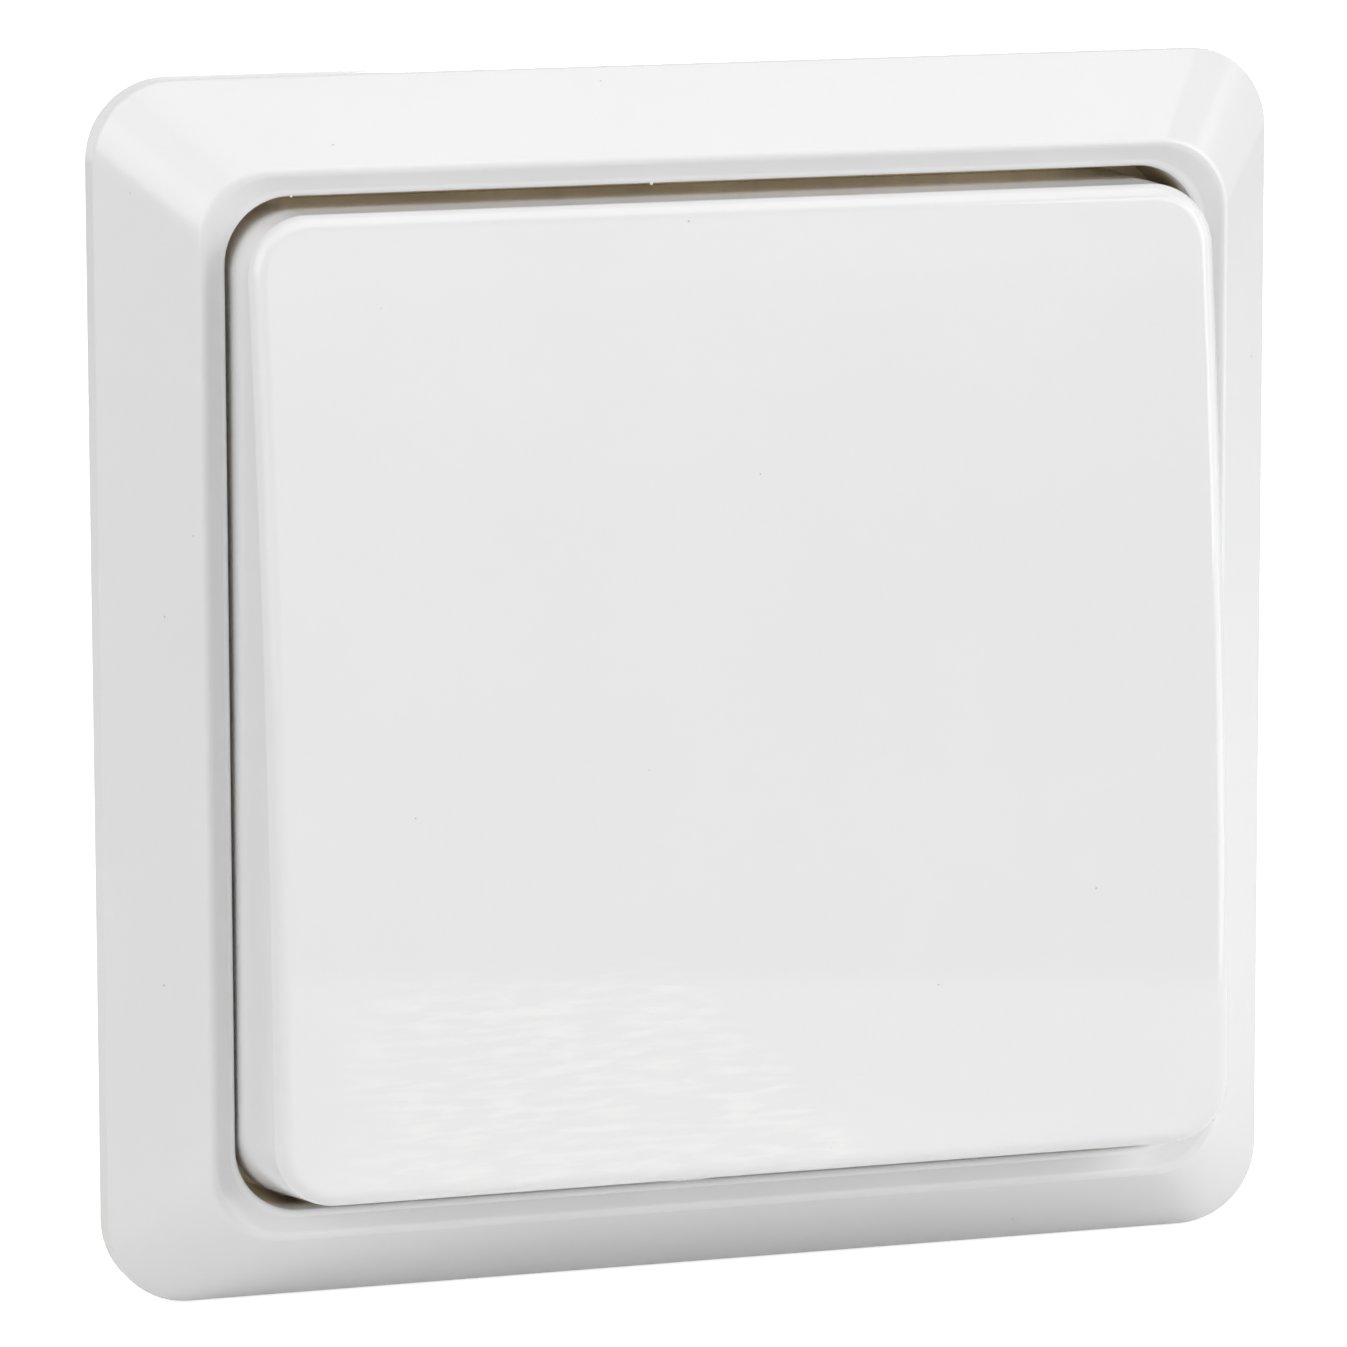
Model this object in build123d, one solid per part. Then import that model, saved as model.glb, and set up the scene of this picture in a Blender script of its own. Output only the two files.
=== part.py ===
from build123d import *
import math
import os

os.makedirs("parts", exist_ok=True)

# Axes: X to the right, Y into the wall, Z up. The wall's face is Y = 0.
# Heights count from the wall towards the room, depths from the wall into the wall box.

# Rocker
ROCKER_WIDTH = 65.6
ROCKER_CORNER = 4.4
ROCKER_DRAFT = 2.0
ROCKER_EDGE = 1.1
ROCKER_WALL = 1.6
ROCKER_CEILING = 2.0
ROCKER_GAP = 0.15
ROCKER_END_GAP = 1.0
ROCKER_TILT = 4.4
FACE_RADIUS = 420.0
FACE_RISE = 10.2
SKIRT_DROP = 1.8
PIVOT_HEIGHT = 6.0
CAP_RIB = 1.2
CAP_RIB_OFFSET = 23.0
CAP_RIB_LOW = 5.6
POST_OFFSET = 11.0
POST_RADIUS = 2.2
POST_NECK = 1.4
POST_HEAD = 1.9

# Cover frame
LIP_LEDGE = 0.4
FUNNEL_RUN = 0.95
CREST_WIDTH = 0.4
SLOPE_RUN = 5.3
FRAME_CORNER = 5.3
CREST_CORNER = 4.6
LIP_CORNER = 4.3
SIDE_WALL_HEIGHT = 2.4
CREST_HEIGHT = 9.1
LIP_HEIGHT = 8.2
CREST_EDGE = 0.42
LIP_EDGE = 0.3
SHOULDER_EDGE = 0.6
FRAME_SKIN = 1.8
INNER_WALL = 1.2
GROOVE_TOP = 0.5
FRAME_RIB = 1.0
FRAME_RIB_OFFSETS = (-27.0, -9.0, 9.0, 27.0)

# Support ring
RING_THICKNESS = 1.2
RING_CORNER = 4.0
RING_OPENING = 26.0
RING_OPENING_CORNER = 3.0
BOX_SCREW_SPACING = 60.0
BOX_SLOT_RADIUS = 1.75
BOX_SLOT_LENGTH = 3.9
EAR_OFFSET = 18.0
EAR_WIDTH = 6.0
EAR_HEIGHT = 4.6
EAR_GAP = 0.15
EAR_BEND = 0.7
EAR_ROOT = 1.6
EAR_RELIEF = 0.6
WINDOW_LOW = 2.1
WINDOW_HIGH = 3.8
WINDOW_WIDTH = 3.6
BARB_CLEARANCE = 0.15
BARB_REACH = 1.6

# Insert
INSERT_WIDTH = 41.0
INSERT_HEIGHT = 42.0
INSERT_CORNER = 3.0
COVER_THICKNESS = 1.8
CLAMP_DEPTH = 6.8
BASE_WALL = 1.5
BASE_FRONT = 1.6
REAR_THICKNESS = 2.5
RIVET_INSET_X = 5.0
RIVET_INSET_Z = 4.5
RING_RIVET_RADIUS = 1.2
RING_RIVET_HEAD = 2.1
RING_RIVET_HEAD_HEIGHT = 0.8
PEG_OFFSET = 16.0
PEG_RADIUS = 1.5
PEG_LENGTH = 4.0
PEG_CLEARANCE = 0.02
BOSS_WALL = 1.4

# Rocker bearings
TRUNNION_RADIUS = 2.0
RUNNING_CLEARANCE = 0.05
BEARING_THICKNESS = 2.4
BEARING_RADIUS = 3.6
CHEEK_GAP = 0.3
TRUNNION_END = 0.3
HUB_HALF_HEIGHT = 3.4
CRADLE_PLATE_LOW = 2.8
CRADLE_PLATE_HIGH = 4.4
CRADLE_PLATE_HALF = 15.0
POST_HOLE_CLEARANCE = 0.05

# Plunger and its spring
TUBE_RADIUS = 3.0
TUBE_END = 7.5
BORE_START = 1.4
PLUNGER_RADIUS = 2.0
PLUNGER_START = 4.2
PLUNGER_TAPER = 2.4
TIP_RADIUS = 1.2
PLUNGER_GAP = 0.12
SPRING_RADIUS = 1.45
SPRING_WIRE = 0.2
SPRING_TURNS = 5
SWING_CLEARANCE = 0.5

# Change-over contact
KNIFE_DEPTH = 11.0
KNIFE_GAP = 0.05
LEVER_TILT = 9.6
LEVER_THICKNESS = 0.8
LEVER_WIDTH = 5.0
LEVER_ARM = 8.0
LEVER_END = 1.7
RIVET_RADIUS = 1.4
RIVET_SHANK = 0.7
RIVET_HEAD = 0.6
RIVET_UPSET = 0.4
CONTACT_GAP = 0.12
STRIP_THICKNESS = 0.8
STRIP_WIDTH = 4.0
STRIP_END = 2.4
STRIP_BEND = 1.0
KNIFE_HEIGHT = 1.4
KNIFE_BASE = 1.6

# Chambers and wire clamps
CHAMBER_LEAF_GAP = 1.7
CHAMBER_HALF_HEIGHT = 11.5
CHAMBER_WALL = 1.0
CHAMBER_REAR_GAP = 1.5
STRIP_CLEARANCE = 0.05
WIRE_PLATE_GAP = 1.4
WIRE_HOLE_RADIUS = 1.5
SEAT_DEPTH = 2.6
WIRE_PLATE_REAR_GAP = 1.0
SEAT_STEP = 2.8
SEAT_WIDTH = 3.0
LEAF_THICKNESS = 0.35
LEAF_WIDTH = 2.8
LEAF_BUTTON_GAP = 1.4
LEAF_BEND = 0.9
LEAF_CORNER_GAP = 1.5
LEAF_SLOPE = 26.0
LEAF_TIP_GAP = 0.4
BUTTON_WIRE_GAP = 1.1
BUTTON_THICKNESS = 2.0
BUTTON_WIDTH = 3.2
BUTTON_PROUD = 0.5
BUTTON_END_GAP = 1.8
BUTTON_EAR = 0.8
BUTTON_EAR_LENGTH = 1.2
BUTTON_SLOT = 0.6
GUIDE_CLEARANCE = 0.1

# Claws
CLAW_OFFSET = 4.0
CLAW_Z = 9.0
CLAW_HALF_WIDTH = 4.0
CLAW_THICKNESS = 1.3
CLAW_BEND = 1.2
CLAW_DEPTH = 18.0
CLAW_LEG_OFFSET = 2.2
CLAW_LEG_LENGTH = 9.0
CLAW_FLANGE = 3.0
CLAW_TOOTH = 1.6
CLAW_TEETH = 3
CLAW_INNER_GAP = 0.6
SCREW_RADIUS = 1.5
SCREW_CLEARANCE = 0.06
SCREW_HOLE_CLEARANCE = 0.1
SCREW_HEAD_RADIUS = 2.6
SCREW_HEAD_HEIGHT = 1.6
SCREW_SLOT_WIDTH = 0.8
SCREW_SLOT_DEPTH = 0.8
SCREW_HEAD_EDGE = 0.5
SCREW_COLLAR = 0.6
SCREW_COLLAR_HEIGHT = 0.6
RAIL_CLEARANCE = 0.3
RAIL_THICKNESS = 1.0
RAIL_REACH = 2.4
RAIL_START = 2.0

# Sizes that follow from the ones above
OPENING_SIZE = ROCKER_WIDTH + 2 * ROCKER_GAP
ROCKER_LENGTH = OPENING_SIZE - 2 * ROCKER_END_GAP
LEDGE_SIZE = OPENING_SIZE + 2 * LIP_LEDGE
CREST_INNER_SIZE = LEDGE_SIZE + 2 * FUNNEL_RUN
CREST_SIZE = CREST_INNER_SIZE + 2 * CREST_WIDTH
FRAME_SIZE = CREST_SIZE + 2 * SLOPE_RUN
INNER_WALL_SIZE = OPENING_SIZE + 2 * INNER_WALL
EAR_INNER = INNER_WALL_SIZE / 2 + EAR_GAP
RING_SIZE = 2 * (EAR_INNER + RING_THICKNESS)
COVER_HEIGHT = RING_THICKNESS + COVER_THICKNESS
FACE_AXIS_HEIGHT = PIVOT_HEIGHT + FACE_RISE - FACE_RADIUS
RIVET_X = INSERT_WIDTH / 2 - RIVET_INSET_X
RIVET_Z = INSERT_HEIGHT / 2 - RIVET_INSET_Z
CLAW_X = INSERT_WIDTH / 2 + CLAW_OFFSET
BEARING_INNER = INSERT_WIDTH / 2 - BEARING_THICKNESS
HUB_HALF_LENGTH = BEARING_INNER - CHEEK_GAP
TUBE_BORE = PLUNGER_RADIUS + RUNNING_CLEARANCE
PLUNGER_REACH = PIVOT_HEIGHT + KNIFE_DEPTH - LEVER_THICKNESS - PLUNGER_GAP
TILT_SINE = math.sin(math.radians(LEVER_TILT))
TILT_COSINE = math.cos(math.radians(LEVER_TILT))
CONTACT_FACE = (
    KNIFE_DEPTH + (LEVER_ARM + RIVET_RADIUS) * TILT_SINE + RIVET_HEAD * TILT_COSINE + CONTACT_GAP
)
FIXED_STRIP_DEPTH = CONTACT_FACE + RIVET_HEAD
COMMON_STRIP_DEPTH = KNIFE_DEPTH + KNIFE_GAP + KNIFE_HEIGHT
BASE_DEPTH = FIXED_STRIP_DEPTH + STRIP_THICKNESS + CLAMP_DEPTH
REAR_DEPTH = BASE_DEPTH + REAR_THICKNESS
CHAMBER_END = BASE_DEPTH - CHAMBER_REAR_GAP
WIRE_PLATE_END = BASE_DEPTH - WIRE_PLATE_REAR_GAP
WIRE_PLATE_OFFSET = INSERT_WIDTH / 2 - BASE_WALL - SEAT_DEPTH - STRIP_THICKNESS
SEAT_INNER = WIRE_PLATE_OFFSET - SEAT_STEP
WIRE_OFFSET = WIRE_PLATE_OFFSET - WIRE_PLATE_GAP
BUTTON_INNER = WIRE_OFFSET - WIRE_HOLE_RADIUS - BUTTON_WIRE_GAP - BUTTON_THICKNESS
LEAF_STAND = BUTTON_INNER - LEAF_BUTTON_GAP
LEAF_REACH = WIRE_PLATE_OFFSET - LEAF_TIP_GAP - LEAF_STAND
CHAMBER_HALF_WIDTH = LEAF_STAND - CHAMBER_LEAF_GAP - CHAMBER_WALL
LEFT = -1
RIGHT = 1
PIVOT_AXIS = Axis((0, -PIVOT_HEIGHT, 0), (1, 0, 0))
KNIFE_AXIS = Axis((0, KNIFE_DEPTH, 0), (1, 0, 0))
SQUARE_TURNS = (0, 90, 180, 270)


# Shared shapes
def facing_room(height):
    """Plane parallel to the wall at a height, seen from the room: across is X, upwards is Z."""
    return Plane(origin=(0, -height, 0), x_dir=(1, 0, 0), z_dir=(0, -1, 0))


def slab(width, tall, corner, low, high):
    """Rounded plate between two heights."""
    return extrude(facing_room(low) * RectangleRounded(width, tall, corner), amount=high - low)


def funnel(low_size, low_corner, low, high_size, high_corner, high):
    """Straight-sided transition between two rounded squares."""
    lower = facing_room(low) * RectangleRounded(low_size, low_size, low_corner)
    upper = facing_room(high) * RectangleRounded(high_size, high_size, high_corner)
    return loft([lower, upper], ruled=True)


def block(x_range, y_range, z_range):
    """Box between given limits along X, Y and Z."""
    spans = (x_range, y_range, z_range)
    sizes = [max(span) - min(span) for span in spans]
    centre = [(span[0] + span[1]) / 2 for span in spans]
    return Pos(*centre) * Box(*sizes)


def round_bar(radius, x, z, start, end):
    """Cylinder along Y between two depths."""
    base = Plane(origin=(x, start, z), x_dir=(1, 0, 0), z_dir=(0, 1, 0))
    return extrude(base * Circle(radius), amount=end - start)


def bent_strip(points, bend, thickness, width):
    """Strip of sheet bent along a centre line in the XY plane, evenly about Z = 0."""
    centre_line = FilletPolyline(*points, radius=bend)
    return extrude(trace(centre_line, line_width=thickness), amount=width / 2, both=True)


def turned(shape, degrees):
    """The shape turned about the part's own Y axis."""
    return shape.rotate(Axis.Y, degrees)


def about(centre, half):
    """Limits that lie evenly about a centre."""
    return (centre - half, centre + half)


def outward(side, inner, outer):
    """Limits on X between two distances from the middle, on the left or right side."""
    return (side * inner, side * outer)


# Cover frame
def skin_height(half):
    """Height of the frame's inner sloping surface at a distance from the middle."""
    rise = CREST_HEIGHT - SIDE_WALL_HEIGHT
    slope_length = math.hypot(SLOPE_RUN, rise)
    shift = FRAME_SKIN * rise / slope_length
    drop = FRAME_SKIN * SLOPE_RUN / slope_length
    return SIDE_WALL_HEIGHT - drop + (FRAME_SIZE / 2 - shift - half) * rise / SLOPE_RUN


def frame_cavity():
    """Space behind the frame's slopes, around its inner wall."""
    rim_size = FRAME_SIZE - 2 * FRAME_SKIN
    rim_corner = FRAME_CORNER - FRAME_SKIN
    top_size = INNER_WALL_SIZE + 2 * GROOVE_TOP
    rim_height = skin_height(rim_size / 2)
    space = slab(rim_size, rim_size, rim_corner, 0, rim_height)
    space += funnel(rim_size, rim_corner, rim_height, top_size, LIP_CORNER, skin_height(top_size / 2))
    space -= slab(INNER_WALL_SIZE, INNER_WALL_SIZE, LIP_CORNER + INNER_WALL, RING_THICKNESS, CREST_HEIGHT)
    return space


def frame_ribs(cavity):
    """Stiffening ribs that fill slices of the cavity along the four sides."""
    low = RING_THICKNESS + EAR_GAP
    ribs = []
    for turn in SQUARE_TURNS:
        for offset in FRAME_RIB_OFFSETS:
            slice_box = block(
                (INNER_WALL_SIZE / 2 - INNER_WALL / 2, FRAME_SIZE / 2 - FRAME_SKIN / 2),
                (-CREST_HEIGHT, -low),
                about(offset, FRAME_RIB / 2),
            )
            ribs.append(turned(slice_box, turn) & cavity)
    return ribs


def frame_barbs():
    """Wedges on the inner wall that catch the windows in the ring's ears."""
    root = INNER_WALL_SIZE / 2 - INNER_WALL / 2
    face = INNER_WALL_SIZE / 2
    low = -(WINDOW_LOW + BARB_CLEARANCE)
    high = -(WINDOW_HIGH - BARB_CLEARANCE)
    outline = Polyline((root, low), (face, low), (face + BARB_REACH, high), (root, high), close=True)
    wedge = extrude(make_face(outline), amount=WINDOW_WIDTH / 2 - BARB_CLEARANCE, both=True)
    return [turned(Pos(0, 0, z) * wedge, turn) for turn in (0, 180) for z in (-EAR_OFFSET, EAR_OFFSET)]


def cover_frame():
    """Square frame: side wall, four slopes, narrow crest, funnel lip and the rocker's opening."""
    frame = slab(FRAME_SIZE, FRAME_SIZE, FRAME_CORNER, 0, SIDE_WALL_HEIGHT)
    frame += funnel(
        FRAME_SIZE, FRAME_CORNER, SIDE_WALL_HEIGHT, CREST_SIZE, CREST_CORNER, CREST_HEIGHT
    )
    shoulder = frame.edges().filter_by_position(Axis.Y, -SIDE_WALL_HEIGHT, -SIDE_WALL_HEIGHT)
    frame = fillet(shoulder, SHOULDER_EDGE)
    frame -= slab(OPENING_SIZE, OPENING_SIZE, LIP_CORNER, 0, CREST_HEIGHT)
    frame -= funnel(LEDGE_SIZE, LIP_CORNER, LIP_HEIGHT, CREST_INNER_SIZE, CREST_CORNER, CREST_HEIGHT)
    crest = frame.edges().filter_by_position(Axis.Y, -CREST_HEIGHT, -CREST_HEIGHT)
    frame = fillet(crest, CREST_EDGE)
    ledge = frame.faces().filter_by_position(Axis.Y, -LIP_HEIGHT, -LIP_HEIGHT)[0]
    frame = fillet(ledge.inner_wires()[0].edges(), LIP_EDGE)
    cavity = frame_cavity()
    frame -= cavity
    for piece in frame_ribs(cavity) + frame_barbs():
        frame += piece
    return frame


# Support ring
def box_slots():
    """Slots for the wall box's screws, one pair across and one pair upright."""
    reach = BOX_SCREW_SPACING / 2
    outline = SlotOverall(BOX_SLOT_LENGTH, 2 * BOX_SLOT_RADIUS)
    slot = extrude(facing_room(0) * Pos(0, reach) * outline, amount=RING_THICKNESS)
    return [turned(slot, turn) for turn in SQUARE_TURNS]


def ear_relief(z):
    """Notch in the ring's right edge where an ear is bent out of it."""
    return block(
        (EAR_INNER - EAR_ROOT, RING_SIZE / 2), (-RING_THICKNESS, 0), about(z, EAR_WIDTH / 2 + EAR_RELIEF)
    )


def ring_ear(z):
    """Ear bent forwards at the ring's right edge, with its window."""
    across = EAR_INNER + RING_THICKNESS / 2
    level = -RING_THICKNESS / 2
    points = ((EAR_INNER - EAR_ROOT, level), (across, level), (across, -EAR_HEIGHT))
    ear = Pos(0, 0, z) * bent_strip(points, EAR_BEND, RING_THICKNESS, EAR_WIDTH)
    return ear - block(about(across, RING_THICKNESS), (-WINDOW_HIGH, -WINDOW_LOW), about(z, WINDOW_WIDTH / 2))


def support_ring():
    """Pressed steel ring that lies on the wall and carries the insert, the claws and the frame."""
    ring = slab(RING_SIZE, RING_SIZE, RING_CORNER, 0, RING_THICKNESS)
    ring -= slab(RING_OPENING, RING_OPENING, RING_OPENING_CORNER, 0, RING_THICKNESS)
    for slot in box_slots():
        ring -= slot
    for turn in (0, 180):
        for z in (-EAR_OFFSET, EAR_OFFSET):
            ring -= turned(ear_relief(z), turn)
            ring += turned(ring_ear(z), turn)
        hole = round_bar(SCREW_RADIUS + SCREW_HOLE_CLEARANCE, CLAW_X, CLAW_Z, -RING_THICKNESS, 0)
        ring -= turned(hole, turn)
    for x, z in rivet_places():
        ring -= round_bar(RING_RIVET_RADIUS, x, z, -RING_THICKNESS, 0)
    return ring


# Insert housing
def rivet_places():
    """Places of the four rivets that hold the insert together."""
    return [(x, z) for x in (-RIVET_X, RIVET_X) for z in (-RIVET_Z, RIVET_Z)]


def swing_window(start, end):
    """Opening between two depths that leaves room for the swinging spring tube."""
    swing = TUBE_END * math.sin(math.radians(ROCKER_TILT))
    half_width = TUBE_RADIUS + SWING_CLEARANCE
    half_height = half_width + swing
    return block(about(0, half_width), (start, end), about(0, half_height))


def bearing_ear(side):
    """Ear with the hole that one trunnion turns in."""
    x_start = side * BEARING_INNER
    plane = Plane(origin=(x_start, -PIVOT_HEIGHT, 0), x_dir=(0, 1, 0), z_dir=(side, 0, 0))
    foot_length = PIVOT_HEIGHT - COVER_HEIGHT
    outline = Circle(BEARING_RADIUS) + Pos(foot_length / 2, 0) * Rectangle(foot_length, 2 * BEARING_RADIUS)
    outline -= Circle(TRUNNION_RADIUS + RUNNING_CLEARANCE)
    return extrude(plane * outline, amount=BEARING_THICKNESS)


def insert_cover():
    """Front plate of the insert with the rocker's two bearing ears."""
    plate = slab(INSERT_WIDTH, INSERT_HEIGHT, INSERT_CORNER, RING_THICKNESS, COVER_HEIGHT)
    plate -= swing_window(-COVER_HEIGHT, -RING_THICKNESS)
    for x, z in rivet_places():
        plate -= round_bar(RING_RIVET_RADIUS, x, z, -COVER_HEIGHT, -RING_THICKNESS)
    for side in (LEFT, RIGHT):
        plate += bearing_ear(side)
    return plate


def ring_rivets():
    """Four rivets through front plate, ring and tub."""
    rivets = []
    for x, z in rivet_places():
        rivet = round_bar(RING_RIVET_RADIUS, x, z, -COVER_HEIGHT, BASE_FRONT)
        rivet += round_bar(RING_RIVET_HEAD, x, z, -COVER_HEIGHT - RING_RIVET_HEAD_HEIGHT, -COVER_HEIGHT)
        rivet += round_bar(RING_RIVET_HEAD, x, z, BASE_FRONT, BASE_FRONT + RING_RIVET_HEAD_HEIGHT)
        rivets.append(rivet)
    return Compound(children=rivets)


def terminal_places():
    """Side, height and strip depth of the common, upper and lower terminals."""
    return {
        "common": (RIGHT, 0.0, COMMON_STRIP_DEPTH),
        "upper": (LEFT, LEVER_ARM, FIXED_STRIP_DEPTH),
        "lower": (LEFT, -LEVER_ARM, FIXED_STRIP_DEPTH),
    }


def contact_chamber():
    """Walls around the contact lever, notched from the rear where the strips pass."""
    outer_x = CHAMBER_HALF_WIDTH + CHAMBER_WALL
    outer_z = CHAMBER_HALF_HEIGHT + CHAMBER_WALL
    depths = (BASE_FRONT, CHAMBER_END)
    walls = block(about(0, outer_x), depths, about(0, outer_z))
    walls -= block(about(0, CHAMBER_HALF_WIDTH), depths, about(0, CHAMBER_HALF_HEIGHT))
    for side, z, depth in terminal_places().values():
        notch_half = STRIP_WIDTH / 2 + STRIP_CLEARANCE
        walls -= block(outward(side, CHAMBER_HALF_WIDTH, outer_x), (depth, CHAMBER_END), about(z, notch_half))
    return walls


def terminal_seat(side, z, depth):
    """Step in the tub that backs a terminal's wire plate and carries its strip."""
    wall_inside = INSERT_WIDTH / 2 - BASE_WALL
    plate_back = WIRE_PLATE_OFFSET + STRIP_THICKNESS
    heights = about(z, SEAT_WIDTH / 2)
    seat = block(outward(side, plate_back, wall_inside), (BASE_FRONT, WIRE_PLATE_END), heights)
    seat += block(outward(side, SEAT_INNER, plate_back), (BASE_FRONT, depth), heights)
    return seat


def claw_rails():
    """Rails on the tub's right wall that keep the claw from turning."""
    inner = CLAW_HALF_WIDTH + RAIL_CLEARANCE
    wall = INSERT_WIDTH / 2
    rails = []
    for direction in (-1, 1):
        near = CLAW_Z + direction * inner
        far = near + direction * RAIL_THICKNESS
        rails.append(block((wall, wall + RAIL_REACH), (RAIL_START, CHAMBER_END), (near, far)))
    return rails


def insert_base():
    """Tub behind the ring with the contact chamber, terminal seats and claw rails."""
    inside_width = INSERT_WIDTH - 2 * BASE_WALL
    inside_height = INSERT_HEIGHT - 2 * BASE_WALL
    base = slab(INSERT_WIDTH, INSERT_HEIGHT, INSERT_CORNER, -BASE_DEPTH, 0)
    base -= slab(inside_width, inside_height, INSERT_CORNER - BASE_WALL, -BASE_DEPTH, -BASE_FRONT)
    base -= swing_window(0, BASE_FRONT)
    base += contact_chamber()
    for side, z, depth in terminal_places().values():
        base += terminal_seat(side, z, depth)
    divider = outward(LEFT, CHAMBER_HALF_WIDTH + CHAMBER_WALL, inside_width / 2)
    base += block(divider, (BASE_FRONT, CHAMBER_END), about(0, CHAMBER_WALL / 2))
    for z in (-PEG_OFFSET, PEG_OFFSET):
        base += round_bar(PEG_RADIUS + BOSS_WALL, 0, z, BASE_FRONT, BASE_DEPTH)
        base -= round_bar(PEG_RADIUS + PEG_CLEARANCE, 0, z, BASE_DEPTH - PEG_LENGTH, BASE_DEPTH)
    for rail in claw_rails():
        base += rail
        base += turned(rail, 180)
    for x, z in rivet_places():
        base -= round_bar(RING_RIVET_RADIUS, x, z, 0, BASE_FRONT)
    return base


def rear_cover():
    """Plate that closes the tub, with wire entries, release openings and strip holders."""
    plate = slab(INSERT_WIDTH, INSERT_HEIGHT, INSERT_CORNER, -REAR_DEPTH, -BASE_DEPTH)
    for side, z, depth in terminal_places().values():
        plate -= round_bar(WIRE_HOLE_RADIUS, side * WIRE_OFFSET, z, BASE_DEPTH, REAR_DEPTH)
        inner = BUTTON_INNER - GUIDE_CLEARANCE
        outer = BUTTON_INNER + BUTTON_THICKNESS + GUIDE_CLEARANCE
        opening_half = BUTTON_WIDTH / 2 + GUIDE_CLEARANCE
        plate -= block(outward(side, inner, outer), (BASE_DEPTH, REAR_DEPTH), about(z, opening_half))
        tongue = outward(side, CHAMBER_HALF_WIDTH, CHAMBER_HALF_WIDTH + CHAMBER_WALL)
        plate += block(tongue, (depth + STRIP_THICKNESS, BASE_DEPTH), about(z, STRIP_WIDTH / 2))
    for z in (-PEG_OFFSET, PEG_OFFSET):
        plate += round_bar(PEG_RADIUS, 0, z, BASE_DEPTH - PEG_LENGTH, BASE_DEPTH)
    return plate


# Rocker, drawn level and then tilted with its upper end in
def tilted(shape):
    """The shape as it stands with the rocker's upper end pressed in."""
    return shape.rotate(PIVOT_AXIS, -ROCKER_TILT)


def domed_block(inset, low, dome_radius):
    """Tapered block, set in from the cap's outline, whose front is part of a cylinder along X."""
    top = PIVOT_HEIGHT + FACE_RISE
    width = ROCKER_WIDTH - 2 * inset
    length = ROCKER_LENGTH - 2 * inset
    dome = Pos(0, -FACE_AXIS_HEIGHT, 0) * Rot(0, 90, 0) * Cylinder(dome_radius, 2 * width)
    outline = facing_room(low) * RectangleRounded(width, length, ROCKER_CORNER - inset)
    return extrude(outline, amount=top - low, taper=ROCKER_DRAFT) & dome


def cap_ribs(cavity):
    """Ribs under the cap's ceiling, two upright and two across."""
    low = -(PIVOT_HEIGHT + CAP_RIB_LOW)
    top = -(PIVOT_HEIGHT + FACE_RISE)
    ribs = []
    for offset in (-CAP_RIB_OFFSET, CAP_RIB_OFFSET):
        upright = block(about(offset, CAP_RIB / 2), (top, low), about(0, ROCKER_LENGTH / 2))
        across = block(about(0, ROCKER_WIDTH / 2), (top, low), about(offset, CAP_RIB / 2))
        ribs.append(upright & cavity)
        ribs.append(across & cavity)
    return ribs


def clip_post(z, cavity):
    """Post with a barbed head that holds the cap on the cradle."""
    shoulder = -(PIVOT_HEIGHT + CRADLE_PLATE_HIGH)
    under_plate = -(PIVOT_HEIGHT + CRADLE_PLATE_LOW)
    head_height = POST_HEAD - POST_NECK + POST_NECK / 2
    stem = round_bar(POST_RADIUS, 0, z, -(PIVOT_HEIGHT + FACE_RISE), shoulder) & cavity
    neck = round_bar(POST_NECK, 0, z, shoulder, under_plate)
    base = Plane(origin=(0, under_plate, z), x_dir=(1, 0, 0), z_dir=(0, 1, 0))
    head = extrude(base * Circle(POST_HEAD), amount=head_height, taper=30)
    return stem + neck + head


def rocker_cap():
    """Domed cap with soft front edges, hollow behind, with ribs and clip posts."""
    rim = PIVOT_HEIGHT - SKIRT_DROP
    cap = domed_block(0, rim, FACE_RADIUS)
    face = cap.faces().filter_by(GeomType.CYLINDER).sort_by(SortBy.AREA)[-1]
    cap = fillet(face.edges(), ROCKER_EDGE)
    cavity = domed_block(ROCKER_WALL, rim, FACE_RADIUS - ROCKER_CEILING)
    cap -= cavity
    for rib in cap_ribs(cavity):
        cap += rib
    for z in (-POST_OFFSET, POST_OFFSET):
        cap += clip_post(z, cavity)
    return tilted(cap)


def rocker_cradle():
    """Carrier with two trunnions, the plate for the cap's posts and the spring tube."""
    pivot = -PIVOT_HEIGHT
    plate_low = pivot - CRADLE_PLATE_LOW
    plate_high = pivot - CRADLE_PLATE_HIGH
    length = about(0, HUB_HALF_LENGTH)
    cradle = block(length, (plate_high, plate_low), about(0, CRADLE_PLATE_HALF))
    cradle += block(length, (plate_low, pivot + TRUNNION_RADIUS), about(0, HUB_HALF_HEIGHT))
    trunnion_reach = BEARING_INNER + BEARING_THICKNESS + TRUNNION_END
    axle = Pos(0, pivot, 0) * Rot(0, 90, 0) * Cylinder(TRUNNION_RADIUS, 2 * trunnion_reach)
    cradle += axle
    cradle += round_bar(TUBE_RADIUS, 0, 0, pivot, pivot + TUBE_END)
    cradle -= round_bar(TUBE_BORE, 0, 0, pivot - BORE_START, pivot + TUBE_END)
    for z in (-POST_OFFSET, POST_OFFSET):
        cradle -= round_bar(POST_NECK + POST_HOLE_CLEARANCE, 0, z, plate_high, plate_low)
    return tilted(cradle)


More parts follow.
